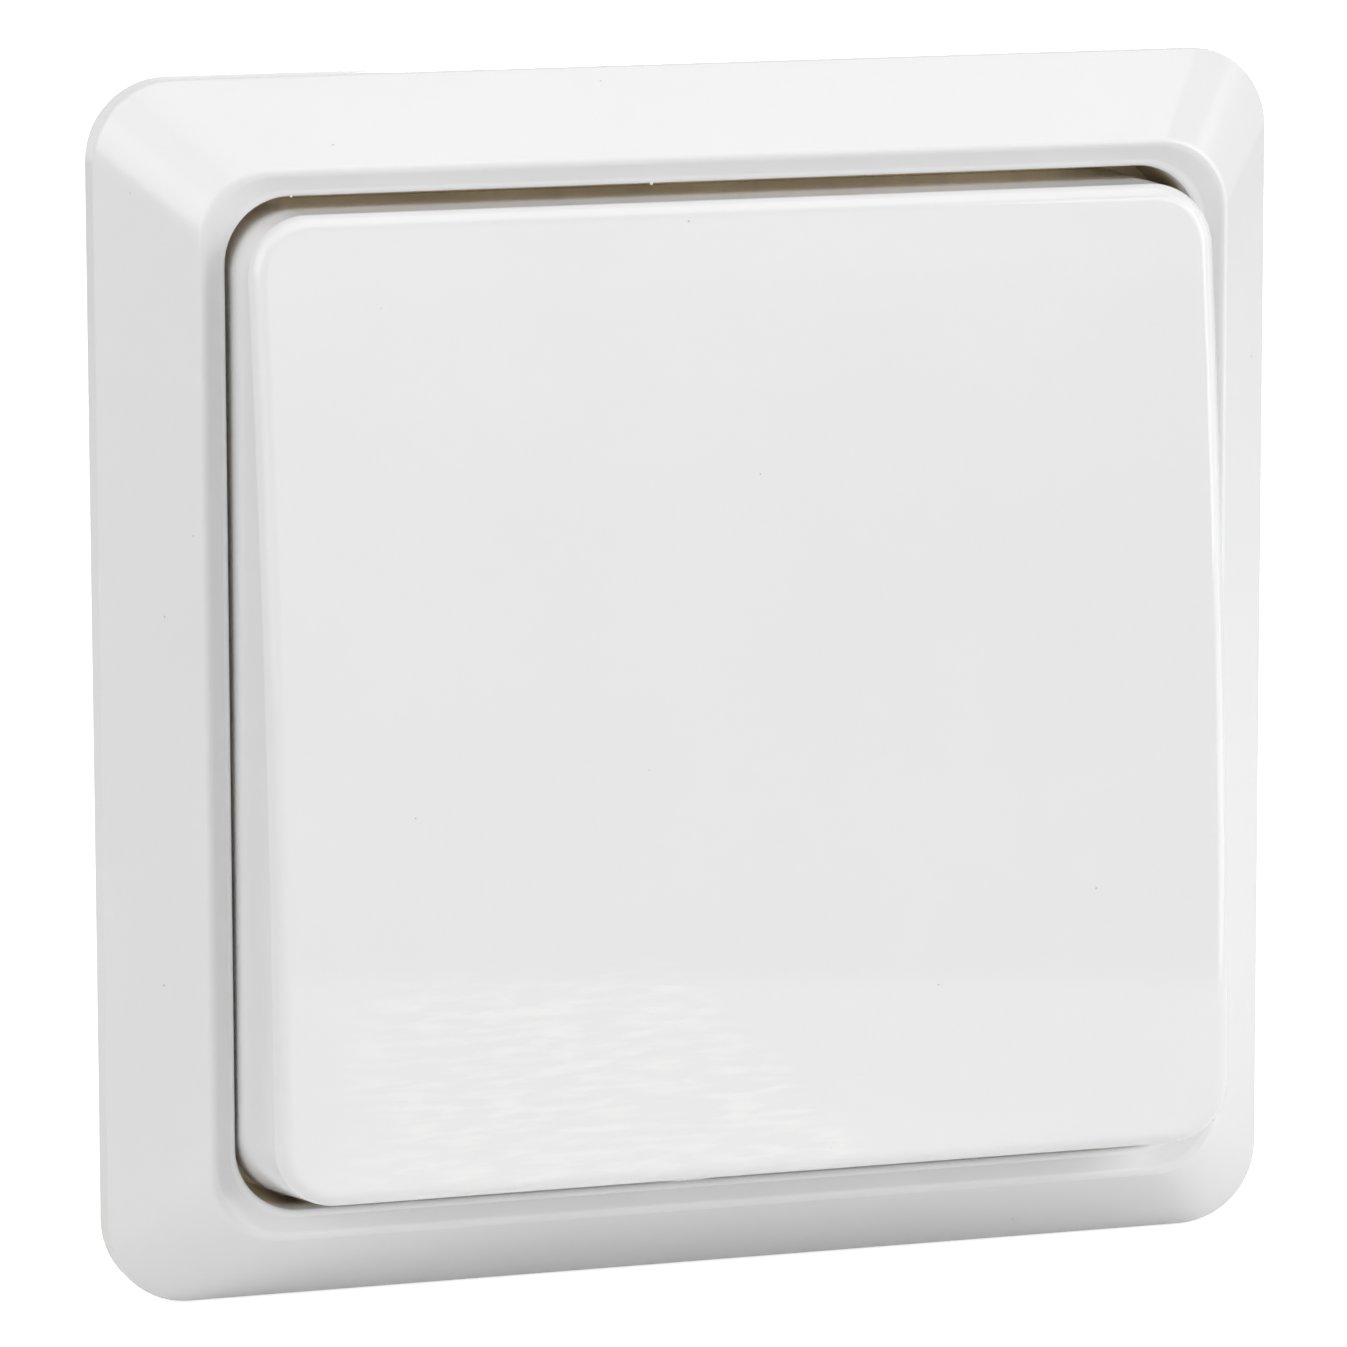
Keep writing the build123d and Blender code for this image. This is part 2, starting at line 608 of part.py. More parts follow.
def plunger():
    """Pin in the spring tube whose round tip drives the contact lever."""
    tip_centre = PLUNGER_REACH - TIP_RADIUS
    taper_start = tip_centre - PLUNGER_TAPER
    tip_end = (0, PLUNGER_REACH)
    tip_side = (TIP_RADIUS, tip_centre)
    lines = Polyline(
        tip_end, (0, PLUNGER_START), (PLUNGER_RADIUS, PLUNGER_START), (PLUNGER_RADIUS, taper_start), tip_side
    )
    tip = RadiusArc(tip_side, tip_end, -TIP_RADIUS)
    outline = make_face(lines + tip)
    return tilted(Pos(0, -PIVOT_HEIGHT, 0) * revolve(outline, Axis.Y))


def plunger_spring():
    """Coil spring between the tube's closed end and the plunger."""
    start = -BORE_START + SPRING_WIRE
    length = PLUNGER_START - SPRING_WIRE - start
    path = Helix(pitch=length / SPRING_TURNS, height=length, radius=SPRING_RADIUS, direction=(0, 1, 0))
    section = Plane(origin=path @ 0, z_dir=path % 0) * Rectangle(2 * SPRING_WIRE, 2 * SPRING_WIRE)
    coil = sweep(section, path=path, is_frenet=True)
    return tilted(Pos(0, start - PIVOT_HEIGHT, 0) * coil)


# Change-over contact, drawn level and then tipped onto the lower contact
def tipped(shape):
    """The shape as it stands with the lever on its lower contact."""
    return shape.rotate(KNIFE_AXIS, LEVER_TILT)


def contact_lever():
    """Tilting plate that rocks on the knife edge."""
    tall = 2 * (LEVER_ARM + LEVER_END)
    front = KNIFE_DEPTH - LEVER_THICKNESS
    lever = extrude(
        facing_room(-KNIFE_DEPTH) * RectangleRounded(LEVER_WIDTH, tall, LEVER_END), amount=LEVER_THICKNESS
    )
    for z in (-LEVER_ARM, LEVER_ARM):
        lever -= round_bar(RIVET_SHANK, 0, z, front, KNIFE_DEPTH)
    return tipped(lever)


def lever_rivets():
    """Contact rivets at the lever's two ends."""
    front = KNIFE_DEPTH - LEVER_THICKNESS
    rivets = []
    for z in (-LEVER_ARM, LEVER_ARM):
        rivet = round_bar(RIVET_SHANK, 0, z, front, KNIFE_DEPTH)
        rivet += round_bar(RIVET_RADIUS, 0, z, KNIFE_DEPTH, KNIFE_DEPTH + RIVET_HEAD)
        rivet += round_bar(RIVET_RADIUS, 0, z, front - RIVET_UPSET, front)
        rivets.append(tipped(rivet))
    return Compound(children=rivets)


def strip_terminal(side, z, depth):
    """Bent strip: a contact part across the chamber and a plate that the wire is pressed on."""
    level = depth + STRIP_THICKNESS / 2
    plate = side * (WIRE_PLATE_OFFSET + STRIP_THICKNESS / 2)
    points = ((-side * STRIP_END, level), (plate, level), (plate, WIRE_PLATE_END))
    return Pos(0, 0, z) * bent_strip(points, STRIP_BEND, STRIP_THICKNESS, STRIP_WIDTH)


def common_terminal():
    """Terminal with the knife edge under the middle of the lever."""
    strip = strip_terminal(*terminal_places()["common"])
    edge = KNIFE_DEPTH + KNIFE_GAP
    foot = COMMON_STRIP_DEPTH
    outline = Polyline((foot, -KNIFE_BASE), (edge, 0), (foot, KNIFE_BASE), close=True)
    ridge = extrude(Plane.YZ * make_face(outline), amount=STRIP_END, both=True)
    return strip + ridge


def fixed_terminal(name):
    """Terminal with the hole for its fixed contact rivet."""
    side, z, depth = terminal_places()[name]
    strip = strip_terminal(side, z, depth)
    return strip - round_bar(RIVET_SHANK, 0, z, depth, depth + STRIP_THICKNESS)


def fixed_rivets():
    """Contact rivets on the upper and lower terminals."""
    rear = FIXED_STRIP_DEPTH + STRIP_THICKNESS
    rivets = []
    for z in (-LEVER_ARM, LEVER_ARM):
        rivet = round_bar(RIVET_RADIUS, 0, z, CONTACT_FACE, FIXED_STRIP_DEPTH)
        rivet += round_bar(RIVET_SHANK, 0, z, FIXED_STRIP_DEPTH, rear)
        rivet += round_bar(RIVET_RADIUS, 0, z, rear, rear + RIVET_UPSET)
        rivets.append(rivet)
    return Compound(children=rivets)


# Wire clamps
def clamp_spring(side, z, depth):
    """Bent leaf: one leg stands on the strip, the other presses the wire on the plate."""
    slope = math.radians(LEAF_SLOPE)
    corner_depth = BASE_DEPTH - LEAF_CORNER_GAP
    foot = (side * LEAF_STAND, depth + STRIP_THICKNESS)
    corner = (side * LEAF_STAND, corner_depth)
    tip = (side * (LEAF_STAND + LEAF_REACH), corner_depth - LEAF_REACH * math.tan(slope))
    return Pos(0, 0, z) * bent_strip((foot, corner, tip), LEAF_BEND, LEAF_THICKNESS, LEAF_WIDTH)


def release_button(side, z):
    """Push-button that bends the leaf off the wire, with two ears that keep it in the cover."""
    start = BASE_DEPTH - BUTTON_END_GAP
    end = REAR_DEPTH + BUTTON_PROUD
    across = outward(side, BUTTON_INNER, BUTTON_INNER + BUTTON_THICKNESS)
    button = block(across, (start, end), about(z, BUTTON_WIDTH / 2))
    ear_end = BASE_DEPTH - GUIDE_CLEARANCE
    ears = block(across, (ear_end - BUTTON_EAR_LENGTH, ear_end), about(z, BUTTON_WIDTH / 2 + BUTTON_EAR))
    ears -= block(across, (start, ear_end), about(z, BUTTON_WIDTH / 2))
    button += ears
    button -= block(across, (end - BUTTON_SLOT, end), about(z, BUTTON_SLOT / 2))
    return button


# Claws, drawn on the right and turned half a turn for the left
def claw_notches(flange_root, flange_end, front):
    """Wedges between the claw's teeth, and half wedges at its two corners."""
    pitch = 2 * CLAW_HALF_WIDTH / CLAW_TEETH
    half = pitch / 2
    outline = Polyline((flange_end, -half), (flange_end, half), (flange_root, 0), close=True)
    wedge = extrude(facing_room(-front - CLAW_THICKNESS) * make_face(outline), amount=2 * CLAW_THICKNESS)
    low = CLAW_Z - CLAW_HALF_WIDTH
    return [Pos(0, 0, low + index * pitch) * wedge for index in range(CLAW_TEETH + 1)]


def claw():
    """Bent steel claw with a toothed flange, threaded on its screw."""
    tub_side = INSERT_WIDTH / 2 + CLAW_INNER_GAP
    leg = CLAW_X + CLAW_LEG_OFFSET + CLAW_THICKNESS / 2
    plate = CLAW_DEPTH + CLAW_THICKNESS / 2
    front = plate - CLAW_LEG_LENGTH
    flange_end = leg + CLAW_FLANGE
    points = ((tub_side, plate), (leg, plate), (leg, front), (flange_end, front))
    piece = Pos(0, 0, CLAW_Z) * bent_strip(points, CLAW_BEND, CLAW_THICKNESS, 2 * CLAW_HALF_WIDTH)
    for notch in claw_notches(flange_end - CLAW_TOOTH, flange_end, front):
        piece -= notch
    hole_end = CLAW_DEPTH + CLAW_THICKNESS
    return piece - round_bar(SCREW_RADIUS + SCREW_CLEARANCE, CLAW_X, CLAW_Z, CLAW_DEPTH, hole_end)


def claw_screw():
    """Slotted screw through the ring, with a collar at its end that keeps the claw on."""
    head_front = -RING_THICKNESS - SCREW_HEAD_HEIGHT
    end = REAR_DEPTH
    head = round_bar(SCREW_HEAD_RADIUS, CLAW_X, CLAW_Z, head_front, -RING_THICKNESS)
    head = chamfer(head.edges().sort_by(Axis.Y)[0], SCREW_HEAD_EDGE)
    head -= block(
        about(CLAW_X, SCREW_HEAD_RADIUS),
        (head_front, head_front + SCREW_SLOT_DEPTH),
        about(CLAW_Z, SCREW_SLOT_WIDTH / 2),
    )
    screw = head + round_bar(SCREW_RADIUS, CLAW_X, CLAW_Z, -RING_THICKNESS, end)
    screw += round_bar(SCREW_RADIUS + SCREW_COLLAR, CLAW_X, CLAW_Z, end - SCREW_COLLAR_HEIGHT, end)
    return screw


# All pieces by name
PIECES = {
    "cover_frame": cover_frame(),
    "support_ring": support_ring(),
    "insert_cover": insert_cover(),
    "insert_base": insert_base(),
    "rear_cover": rear_cover(),
    "ring_rivets": ring_rivets(),
    "rocker_cap": rocker_cap(),
    "rocker_cradle": rocker_cradle(),
    "plunger": plunger(),
    "plunger_spring": plunger_spring(),
    "contact_lever": contact_lever(),
    "lever_rivets": lever_rivets(),
    "common_terminal": common_terminal(),
    "upper_terminal": fixed_terminal("upper"),
    "lower_terminal": fixed_terminal("lower"),
    "fixed_rivets": fixed_rivets(),
    "claw_right": claw(),
    "claw_left": turned(claw(), 180),
    "claw_screw_right": claw_screw(),
    "claw_screw_left": turned(claw_screw(), 180),
}
for place, (side, z, depth) in terminal_places().items():
    PIECES[f"clamp_spring_{place}"] = clamp_spring(side, z, depth)
    PIECES[f"release_button_{place}"] = release_button(side, z)

for name, shape in PIECES.items():
    export_step(shape, f"parts/{name}.step")
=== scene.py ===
"""Looks of a flush-mounted rocker light switch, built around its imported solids. Sizes are in millimetres."""

import logging
import math
from dataclasses import dataclass
from enum import Enum, IntEnum

import bmesh
import bpy
from mathutils import Matrix, Vector


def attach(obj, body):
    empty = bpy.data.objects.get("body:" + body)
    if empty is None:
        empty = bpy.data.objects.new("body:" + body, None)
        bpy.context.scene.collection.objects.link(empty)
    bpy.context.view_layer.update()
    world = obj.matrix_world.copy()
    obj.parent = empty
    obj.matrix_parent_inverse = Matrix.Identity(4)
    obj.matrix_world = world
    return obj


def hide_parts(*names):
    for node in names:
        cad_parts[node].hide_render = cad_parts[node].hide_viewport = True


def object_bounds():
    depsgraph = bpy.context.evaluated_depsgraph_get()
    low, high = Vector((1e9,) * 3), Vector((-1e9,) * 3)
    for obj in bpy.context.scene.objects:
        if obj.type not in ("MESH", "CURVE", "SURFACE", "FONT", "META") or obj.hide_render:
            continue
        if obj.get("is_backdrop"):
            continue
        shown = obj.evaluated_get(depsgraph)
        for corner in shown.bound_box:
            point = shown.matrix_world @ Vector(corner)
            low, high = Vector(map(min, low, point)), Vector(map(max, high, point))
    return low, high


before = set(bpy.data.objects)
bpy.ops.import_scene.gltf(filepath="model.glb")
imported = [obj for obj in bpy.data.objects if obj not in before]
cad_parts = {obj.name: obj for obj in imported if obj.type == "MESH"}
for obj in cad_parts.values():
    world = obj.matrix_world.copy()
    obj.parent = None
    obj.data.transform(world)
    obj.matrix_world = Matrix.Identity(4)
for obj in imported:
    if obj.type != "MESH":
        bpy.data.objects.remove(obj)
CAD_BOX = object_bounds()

log = logging.getLogger("light_switch")

MM = 0.001
MERGE = 1e-7
NODE_MERGE = 1e-6
ARC = 0.5
KEEP_MATERIAL = -1
APART = 20.0
QUARTER = math.pi / 2
FULL_TURN = 2 * math.pi
CLOUD_SPAN = (0.35, 0.65)
GLOSS_SPAN = (0.3, 0.7)
WHITE = (1.0, 1.0, 1.0, 1.0)
BLACK = (0.0, 0.0, 0.0, 1.0)

Colour = tuple[float, float, float]
Place = tuple[float, float, float]
Span = tuple[float, float]


class Side(Enum):
    """The two sides of the switch, by the sign of X."""

    LEFT = -1
    RIGHT = 1


class Grain(Enum):
    """Kinds of fine relief on metal, by the pattern's scale along each axis."""

    ROLLED = (1.0, 1.0, 0.06)
    TURNED = (0.1, 1.0, 0.1)


class Line(IntEnum):
    """Places in the frame's list of sections that its ribs and flash are set by."""

    OPENING = 5
    INNER_WALL = 7
    GROOVE = 9
    REAR_RIM = 10


# Finishes
class ShaderSheet:
    """Node tree of one material on Object coordinates, with short ways to add nodes to it."""

    def __init__(self, name: str) -> None:
        """Starts a material with its principled shader and its Object coordinates.

        Args:
            name: The material's name.
        """
        self.material = bpy.data.materials.new(name)
        self.material.use_nodes = True
        self.tree = self.material.node_tree
        self.shader = next(n for n in self.tree.nodes if n.type == "BSDF_PRINCIPLED")
        self.place = self.tree.nodes.new("ShaderNodeTexCoord").outputs["Object"]

    def add(self, kind: str, **inputs: object) -> bpy.types.Node:
        """Adds a node.

        Args:
            kind: The node's type name.
            inputs: Socket values, or sockets to join, by the socket's name with _ for spaces.

        Returns:
            The new node.
        """
        node = self.tree.nodes.new(kind)
        for key, value in inputs.items():
            self.feed(node, key.replace("_", " "), value)
        return node

    def feed(self, node: bpy.types.Node, socket: str | int, value: object) -> None:
        """Joins a socket to a node's input, or sets the input's own value.

        Args:
            node: Node that gets the value.
            socket: Name or number of its input.
            value: Socket to join, or the value to set.
        """
        if isinstance(value, bpy.types.NodeSocket):
            self.tree.links.new(value, node.inputs[socket])
        else:
            node.inputs[socket].default_value = value

    def stretched(self, scale: Place) -> bpy.types.NodeSocket:
        """Object coordinates with a scale of their own along each axis."""
        return self.add("ShaderNodeMapping", Vector=self.place, Scale=scale).outputs["Vector"]

    def noise(
        self, scale: float, detail: float = 2.0, vector: bpy.types.NodeSocket | None = None
    ) -> bpy.types.NodeSocket:
        """Noise from 0 to 1 with features of 1 / scale metres."""
        node = self.add("ShaderNodeTexNoise", Vector=vector or self.place, Scale=scale, Detail=detail)
        return node.outputs["Fac"]

    def ramp(
        self, value: bpy.types.NodeSocket, start: float, end: float, low: float, high: float
    ) -> bpy.types.NodeSocket:
        """Carries a value from one range to another, clamped.

        Args:
            value: Socket with the value.
            start: Value that gives low.
            end: Value that gives high.
            low: Result at the start.
            high: Result at the end.

        Returns:
            The result's socket.
        """
        node = self.add("ShaderNodeMapRange", Value=value)
        for socket, number in zip(("From Min", "From Max", "To Min", "To Max"), (start, end, low, high)):
            node.inputs[socket].default_value = number
        return node.outputs["Result"]

    def calc(self, operation: str, first: object, second: object = 0.0) -> bpy.types.NodeSocket:
        """Adds a Math node.

        Args:
            operation: The node's operation.
            first: Socket or value of its first input.
            second: Socket or value of its second input, where the operation has one.

        Returns:
            The result's socket.
        """
        node = self.tree.nodes.new("ShaderNodeMath")
        node.operation = operation
        self.feed(node, 0, first)
        self.feed(node, 1, second)
        return node.outputs["Value"]

    def mix(self, share: bpy.types.NodeSocket, first: object, second: object) -> bpy.types.NodeSocket:
        """Mixes two colours.

        Args:
            share: Socket with the second colour's share.
            first: Colour or socket at a share of 0.
            second: Colour or socket at a share of 1.

        Returns:
            The mixed colour's socket.
        """
        node = self.tree.nodes.new("ShaderNodeMix")
        node.data_type = "RGBA"
        self.feed(node, "Factor", share)
        for socket, colour in (("A", first), ("B", second)):
            target = next(s for s in node.inputs if s.name == socket and s.type == "RGBA")
            if isinstance(colour, bpy.types.NodeSocket):
                self.tree.links.new(colour, target)
            else:
                target.default_value = (*colour, 1.0)
        return next(s for s in node.outputs if s.type == "RGBA")

    def bump(self, height: bpy.types.NodeSocket, depth: float) -> None:
        """Relief on the shader's normal, with the depth in millimetres."""
        node = self.add("ShaderNodeBump", Height=height, Distance=depth * MM, Strength=1.0)
        self.tree.links.new(node.outputs["Normal"], self.shader.inputs["Normal"])

    def shade(self, **inputs: object) -> bpy.types.Material:
        """Sets or joins the shader's own sockets.

        Args:
            inputs: Values or sockets, by the socket's name with _ for spaces.

        Returns:
            The material.
        """
        for key, value in inputs.items():
            self.feed(self.shader, key.replace("_", " "), value)
        return self.material


@dataclass(frozen=True)
class Dust:
    """A few small specks of dust at the points of a cell pattern, with the scale in cells per metre."""

    colour: Colour = (0.42, 0.41, 0.40)
    scale: float = 300.0
    size: float = 0.03
    core: float = 0.5
    strength: float = 0.6

    def share(self, sheet: ShaderSheet) -> bpy.types.NodeSocket:
        """Share of dust, full in each speck's core."""
        cells = sheet.add("ShaderNodeTexVoronoi", Vector=sheet.place, Scale=self.scale)
        return sheet.ramp(cells.outputs["Distance"], self.size * self.core, self.size, self.strength, 0.0)


@dataclass(frozen=True)
class PaintedGapShade:
    """Painted warm shade on walls in the gap, standing in for the gap's shadow and warm bounced light, between
    two heights, within a half width of the middle.
    """

    colour: Colour
    half: float = 33.2
    heights: Span = (8.0, 6.4)

    def share(self, sheet: ShaderSheet) -> bpy.types.NodeSocket:
        """Finds the painted shade's share.

        Args:
            sheet: Node tree that gets the nodes.

        Returns:
            The share's socket.
        """
        x, y, z = sheet.add("ShaderNodeSeparateXYZ", Vector=sheet.place).outputs
        top, bottom = self.heights
        # The painted shade grows from nothing at the upper height to full at the lower, deeper one.
        depth = sheet.ramp(y, -top * MM, -bottom * MM, 0.0, 1.0)
        reach = sheet.calc("MAXIMUM", sheet.calc("ABSOLUTE", x), sheet.calc("ABSOLUTE", z))
        return sheet.calc("MULTIPLY", depth, sheet.calc("LESS_THAN", reach, self.half * MM))


@dataclass(frozen=True)
class PaintedReflectionStreaks:
    """Painted reflection: pale level streaks on the lower left of a face, standing in for a reflection of the
    surroundings, bounded above, at the left and by a slanting line.
    """

    colour: Colour = (0.90, 0.90, 0.895)
    scale: float = 800.0
    detail: float = 4.0
    stretch: Place = (0.4, 1.0, 2.4)
    span: Span = (0.45, 0.65)
    strength: float = 0.9
    top: float = -15.5
    top_fade: float = 2.5
    left: float = -29.5
    left_fade: float = 6.0
    slant: float = -21.5
    slant_fade: float = 2.0

    def share(self, sheet: ShaderSheet) -> bpy.types.NodeSocket:
        """Finds the painted reflection's share.

        Args:
            sheet: Node tree that gets the nodes.

        Returns:
            The share's socket.
        """
        x, _, z = sheet.add("ShaderNodeSeparateXYZ", Vector=sheet.place).outputs
        pattern = sheet.noise(self.scale, self.detail, sheet.stretched(self.stretch))
        streaks = sheet.ramp(pattern, *self.span, 0.0, self.strength)
        below = sheet.ramp(z, (self.top - self.top_fade) * MM, self.top * MM, 1.0, 0.0)
        right_of = sheet.ramp(x, self.left * MM, (self.left + self.left_fade) * MM, 0.0, 1.0)
        across = sheet.calc("ADD", x, z)
        under = sheet.ramp(across, (self.slant - self.slant_fade) * MM, self.slant * MM, 1.0, 0.0)
        inside = sheet.calc("MULTIPLY", below, sheet.calc("MULTIPLY", right_of, under))
        return sheet.calc("MULTIPLY", streaks, inside)


@dataclass(frozen=True)
class Plastic:
    """Moulded plastic: two close colours, gloss, fine relief and layers on its colour: dust, painted shade and
    painted reflection.

    Fields ending in _scale are features per metre.
    """

    name: str
    colour: Colour
    shade: Colour
    gloss: Span
    grain_scale: float
    grain_depth: float
    dust_and_painted_light: tuple[Dust | PaintedGapShade | PaintedReflectionStreaks, ...] = ()
    cloud_scale: float = 60.0
    cloud_detail: float = 3.0
    gloss_scale: float = 240.0
    gloss_detail: float = 4.0
    index: float = 1.5

    def make(self) -> bpy.types.Material:
        """Builds the material.

        Returns:
            The material.
        """
        sheet = ShaderSheet(self.name)
        cloud = sheet.ramp(sheet.noise(self.cloud_scale, self.cloud_detail), *CLOUD_SPAN, 0.0, 1.0)
        tint = sheet.mix(cloud, self.colour, self.shade)
        # The layers mix in dust specks, painted gap shade and painted reflection streaks.
        for layer in self.dust_and_painted_light:
            tint = sheet.mix(layer.share(sheet), tint, layer.colour)
        roughness = sheet.ramp(sheet.noise(self.gloss_scale, self.gloss_detail), *GLOSS_SPAN, *self.gloss)
        sheet.bump(sheet.noise(self.grain_scale), self.grain_depth)
        return sheet.shade(Base_Color=tint, Roughness=roughness, IOR=self.index)


@dataclass(frozen=True)
class Metal:
    """Bare or plated metal: two close colours, rolled or turned relief and a range of roughness."""

    name: str
    colour: Colour
    shade: Colour
    gloss: Span
    grain: Grain
    grain_scale: float
    grain_depth: float
    grain_detail: float = 3.0
    cloud_scale: float = 180.0
    cloud_detail: float = 4.0

    def make(self) -> bpy.types.Material:
        """Builds the material.

        Returns:
            The material.
        """
        sheet = ShaderSheet(self.name)
        cloud = sheet.ramp(sheet.noise(self.cloud_scale, self.cloud_detail), *CLOUD_SPAN, 0.0, 1.0)
        tint = sheet.mix(cloud, self.colour, self.shade)
        relief = sheet.noise(self.grain_scale, self.grain_detail, sheet.stretched(self.grain.value))
        roughness = sheet.ramp(relief, *GLOSS_SPAN, *self.gloss)
        sheet.bump(relief, self.grain_depth)
        return sheet.shade(Base_Color=tint, Roughness=roughness, Metallic=1.0)


FINISHES: dict[str, Plastic | Metal] = {
    "frame_white": Plastic(
        "gloss white frame", (0.86, 0.86, 0.86), (0.848, 0.848, 0.85), (0.14, 0.2), 420.0, 0.004,
        # The frame's layers: dust specks and a painted warm shade deep in the gap.
        (Dust(), PaintedGapShade((0.92, 0.77, 0.57))),
    ),
    "rocker_white": Plastic(
        "gloss white rocker", (0.86, 0.86, 0.86), (0.848, 0.848, 0.85), (0.03, 0.05), 420.0, 0.003,
        # The rocker's layers: dust specks, a painted warm shade deep in the gap and painted reflection
        # streaks.
        (Dust(), PaintedGapShade((0.87, 0.845, 0.80), 40.0, (9.0, 7.6)), PaintedReflectionStreaks()),
    ),
    "cradle_white": Plastic(
        "satin white carrier", (0.78, 0.78, 0.75), (0.74, 0.74, 0.70), (0.3, 0.42), 1800.0, 0.01
    ),
    "insert_grey": Plastic(
        "matt grey tub", (0.42, 0.43, 0.44), (0.37, 0.38, 0.39), (0.42, 0.58), 2200.0, 0.012
    ),
    "cover_grey": Plastic(
        "matt pale grey cover", (0.60, 0.61, 0.61), (0.55, 0.56, 0.56), (0.4, 0.55), 2200.0, 0.012
    ),
    "plunger_grey": Plastic(
        "satin grey pin", (0.30, 0.31, 0.32), (0.27, 0.28, 0.29), (0.3, 0.4), 2000.0, 0.008
    ),
    "button_orange": Plastic(
        "satin orange button", (0.80, 0.24, 0.03), (0.72, 0.20, 0.025), (0.32, 0.45), 2000.0, 0.01
    ),
    "zinc_steel": Metal(
        "yellow-passivated zinc sheet", (0.62, 0.50, 0.32), (0.52, 0.41, 0.25), (0.32, 0.48),
        Grain.ROLLED, 2600.0, 0.006,
    ),
    "screw_steel": Metal(
        "zinc-plated screw", (0.68, 0.67, 0.64), (0.60, 0.59, 0.55), (0.22, 0.36), Grain.TURNED, 3000.0, 0.006
    ),
    "rivet_metal": Metal(
        "rivet steel", (0.62, 0.62, 0.61), (0.54, 0.54, 0.53), (0.28, 0.42), Grain.TURNED, 2600.0, 0.006
    ),
    "spring_steel": Metal(
        "spring steel", (0.50, 0.50, 0.51), (0.42, 0.42, 0.43), (0.24, 0.36), Grain.ROLLED, 2600.0, 0.004
    ),
    "contact_brass": Metal(
        "contact brass", (0.80, 0.58, 0.26), (0.70, 0.47, 0.19), (0.22, 0.38), Grain.ROLLED, 2400.0, 0.005
    ),
    "contact_silver": Metal(
        "contact silver", (0.86, 0.85, 0.82), (0.76, 0.74, 0.70), (0.2, 0.34), Grain.TURNED, 2600.0, 0.004
    ),
}


class FinishShelf:
    """Materials of the record's slots, each made once when a piece first asks for it."""

    def __init__(self) -> None:
        """Starts with no material made."""
        self.made: dict[str, bpy.types.Material] = {}

    def take(self, slot: str) -> bpy.types.Material:
        """Gives the material of a slot.

        Args:
            slot: The slot's name in the record.

        Returns:
            The material.
        """
        if slot not in self.made:
            self.made[slot] = FINISHES[slot].make()
        return self.made[slot]


# Mesh tools
def facing_room(height: float) -> Matrix:
    """Turns a drawing in XY to face the room at a height above the wall."""
    return Matrix.Translation((0, -height * MM, 0)) @ Matrix.Rotation(QUARTER, 4, "X")


def rounded_plate(
    bm: bmesh.types.BMesh, width: float, length: float, corner: float, height: float, steps: int
) -> bmesh.types.BMFace:
    """Draws a rectangular face with round corners, facing the room.

    Args:
        bm: Mesh that gets the face.
        width: Length along X.
        length: Length along Z.
        corner: Radius of its corners.
        height: Height above the wall.
        steps: Edges in each corner's arc.

    Returns:
        The face.
    """
    place = facing_room(height) @ Matrix.Diagonal((width, length, 1.0, 1.0))
    made = bmesh.ops.create_grid(bm, x_segments=1, y_segments=1, size=MM / 2, matrix=place)
    rounded = bmesh.ops.bevel(
        bm, geom=made["verts"], offset=corner * MM, offset_type="OFFSET", affect="VERTICES",
        segments=steps, profile=ARC, material=KEEP_MATERIAL,
    )
    return rounded["verts"][0].link_faces[0]


def round_edges(bm: bmesh.types.BMesh, edges: list[bmesh.types.BMEdge], offset: float, steps: int) -> None:
    """Rounds edges, with the offset from the edge to where the rounding starts."""
    bmesh.ops.bevel(
        bm, geom=edges, offset=offset * MM, offset_type="OFFSET", affect="EDGES",
        segments=steps, profile=ARC, material=KEEP_MATERIAL, clamp_overlap=True,
    )


def extruded(bm: bmesh.types.BMesh, face: bmesh.types.BMFace, along: Vector) -> bmesh.types.BMFace:
    """Extrudes a face.

    Args:
        bm: Mesh that holds the face.
        face: Face to extrude.
        along: Way and length of the extrusion in metres.

    Returns:
        The face at the far end.
    """
    made = bmesh.ops.extrude_face_region(bm, geom=[face])["geom"]
    bmesh.ops.translate(bm, vec=along, verts=[v for v in made if isinstance(v, bmesh.types.BMVert)])
    return next(f for f in made if isinstance(f, bmesh.types.BMFace))


def prism(bm: bmesh.types.BMesh, outline: list[Vector], along: Vector) -> list[bmesh.types.BMVert]:
    """Adds a closed prism.

    Args:
        bm: Mesh that gets the prism.
        outline: Corner points of its base in metres.
        along: Way and length of its extrusion in metres.

    Returns:
        Its vertices.
    """
    base = bm.faces.new([bm.verts.new(point) for point in outline])
    far = extruded(bm, base, along)
    verts = [*base.verts, *far.verts]
    bmesh.ops.recalc_face_normals(bm, faces=list({f for v in verts for f in v.link_faces}))
    return verts


def spun(bm: bmesh.types.BMesh, profile: list[tuple[float, float]], foot: Vector, steps: int) -> None:
    """Adds a turned shape.

    Args:
        bm: Mesh that gets the shape.
        profile: Radius and height pairs from the axis back to the axis.
        foot: Point on the axis at height 0, in metres.
        steps: Faces round the axis.
    """
    verts = [bm.verts.new(foot + Vector((radius, -height, 0)) * MM) for radius, height in profile]
    edges = [bm.edges.new(pair) for pair in zip(verts, verts[1:])]
    before = set(bm.faces)
    bmesh.ops.spin(
        bm, geom=verts + edges, cent=foot, axis=(0, 1, 0), angle=FULL_TURN, steps=steps, use_merge=True
    )
    faces = [f for f in bm.faces if f not in before]
    bmesh.ops.remove_doubles(bm, verts=list({v for f in faces for v in f.verts}), dist=MERGE)
    bmesh.ops.recalc_face_normals(bm, faces=[f for f in faces if f.is_valid])


def held_in(place: Vector, *limits: float) -> Vector:
    """The nearest point to a place in a rectangle about the middle, by its half width and half length."""
    return Vector(max(-limit, min(limit, at)) for limit, at in zip(limits, place))


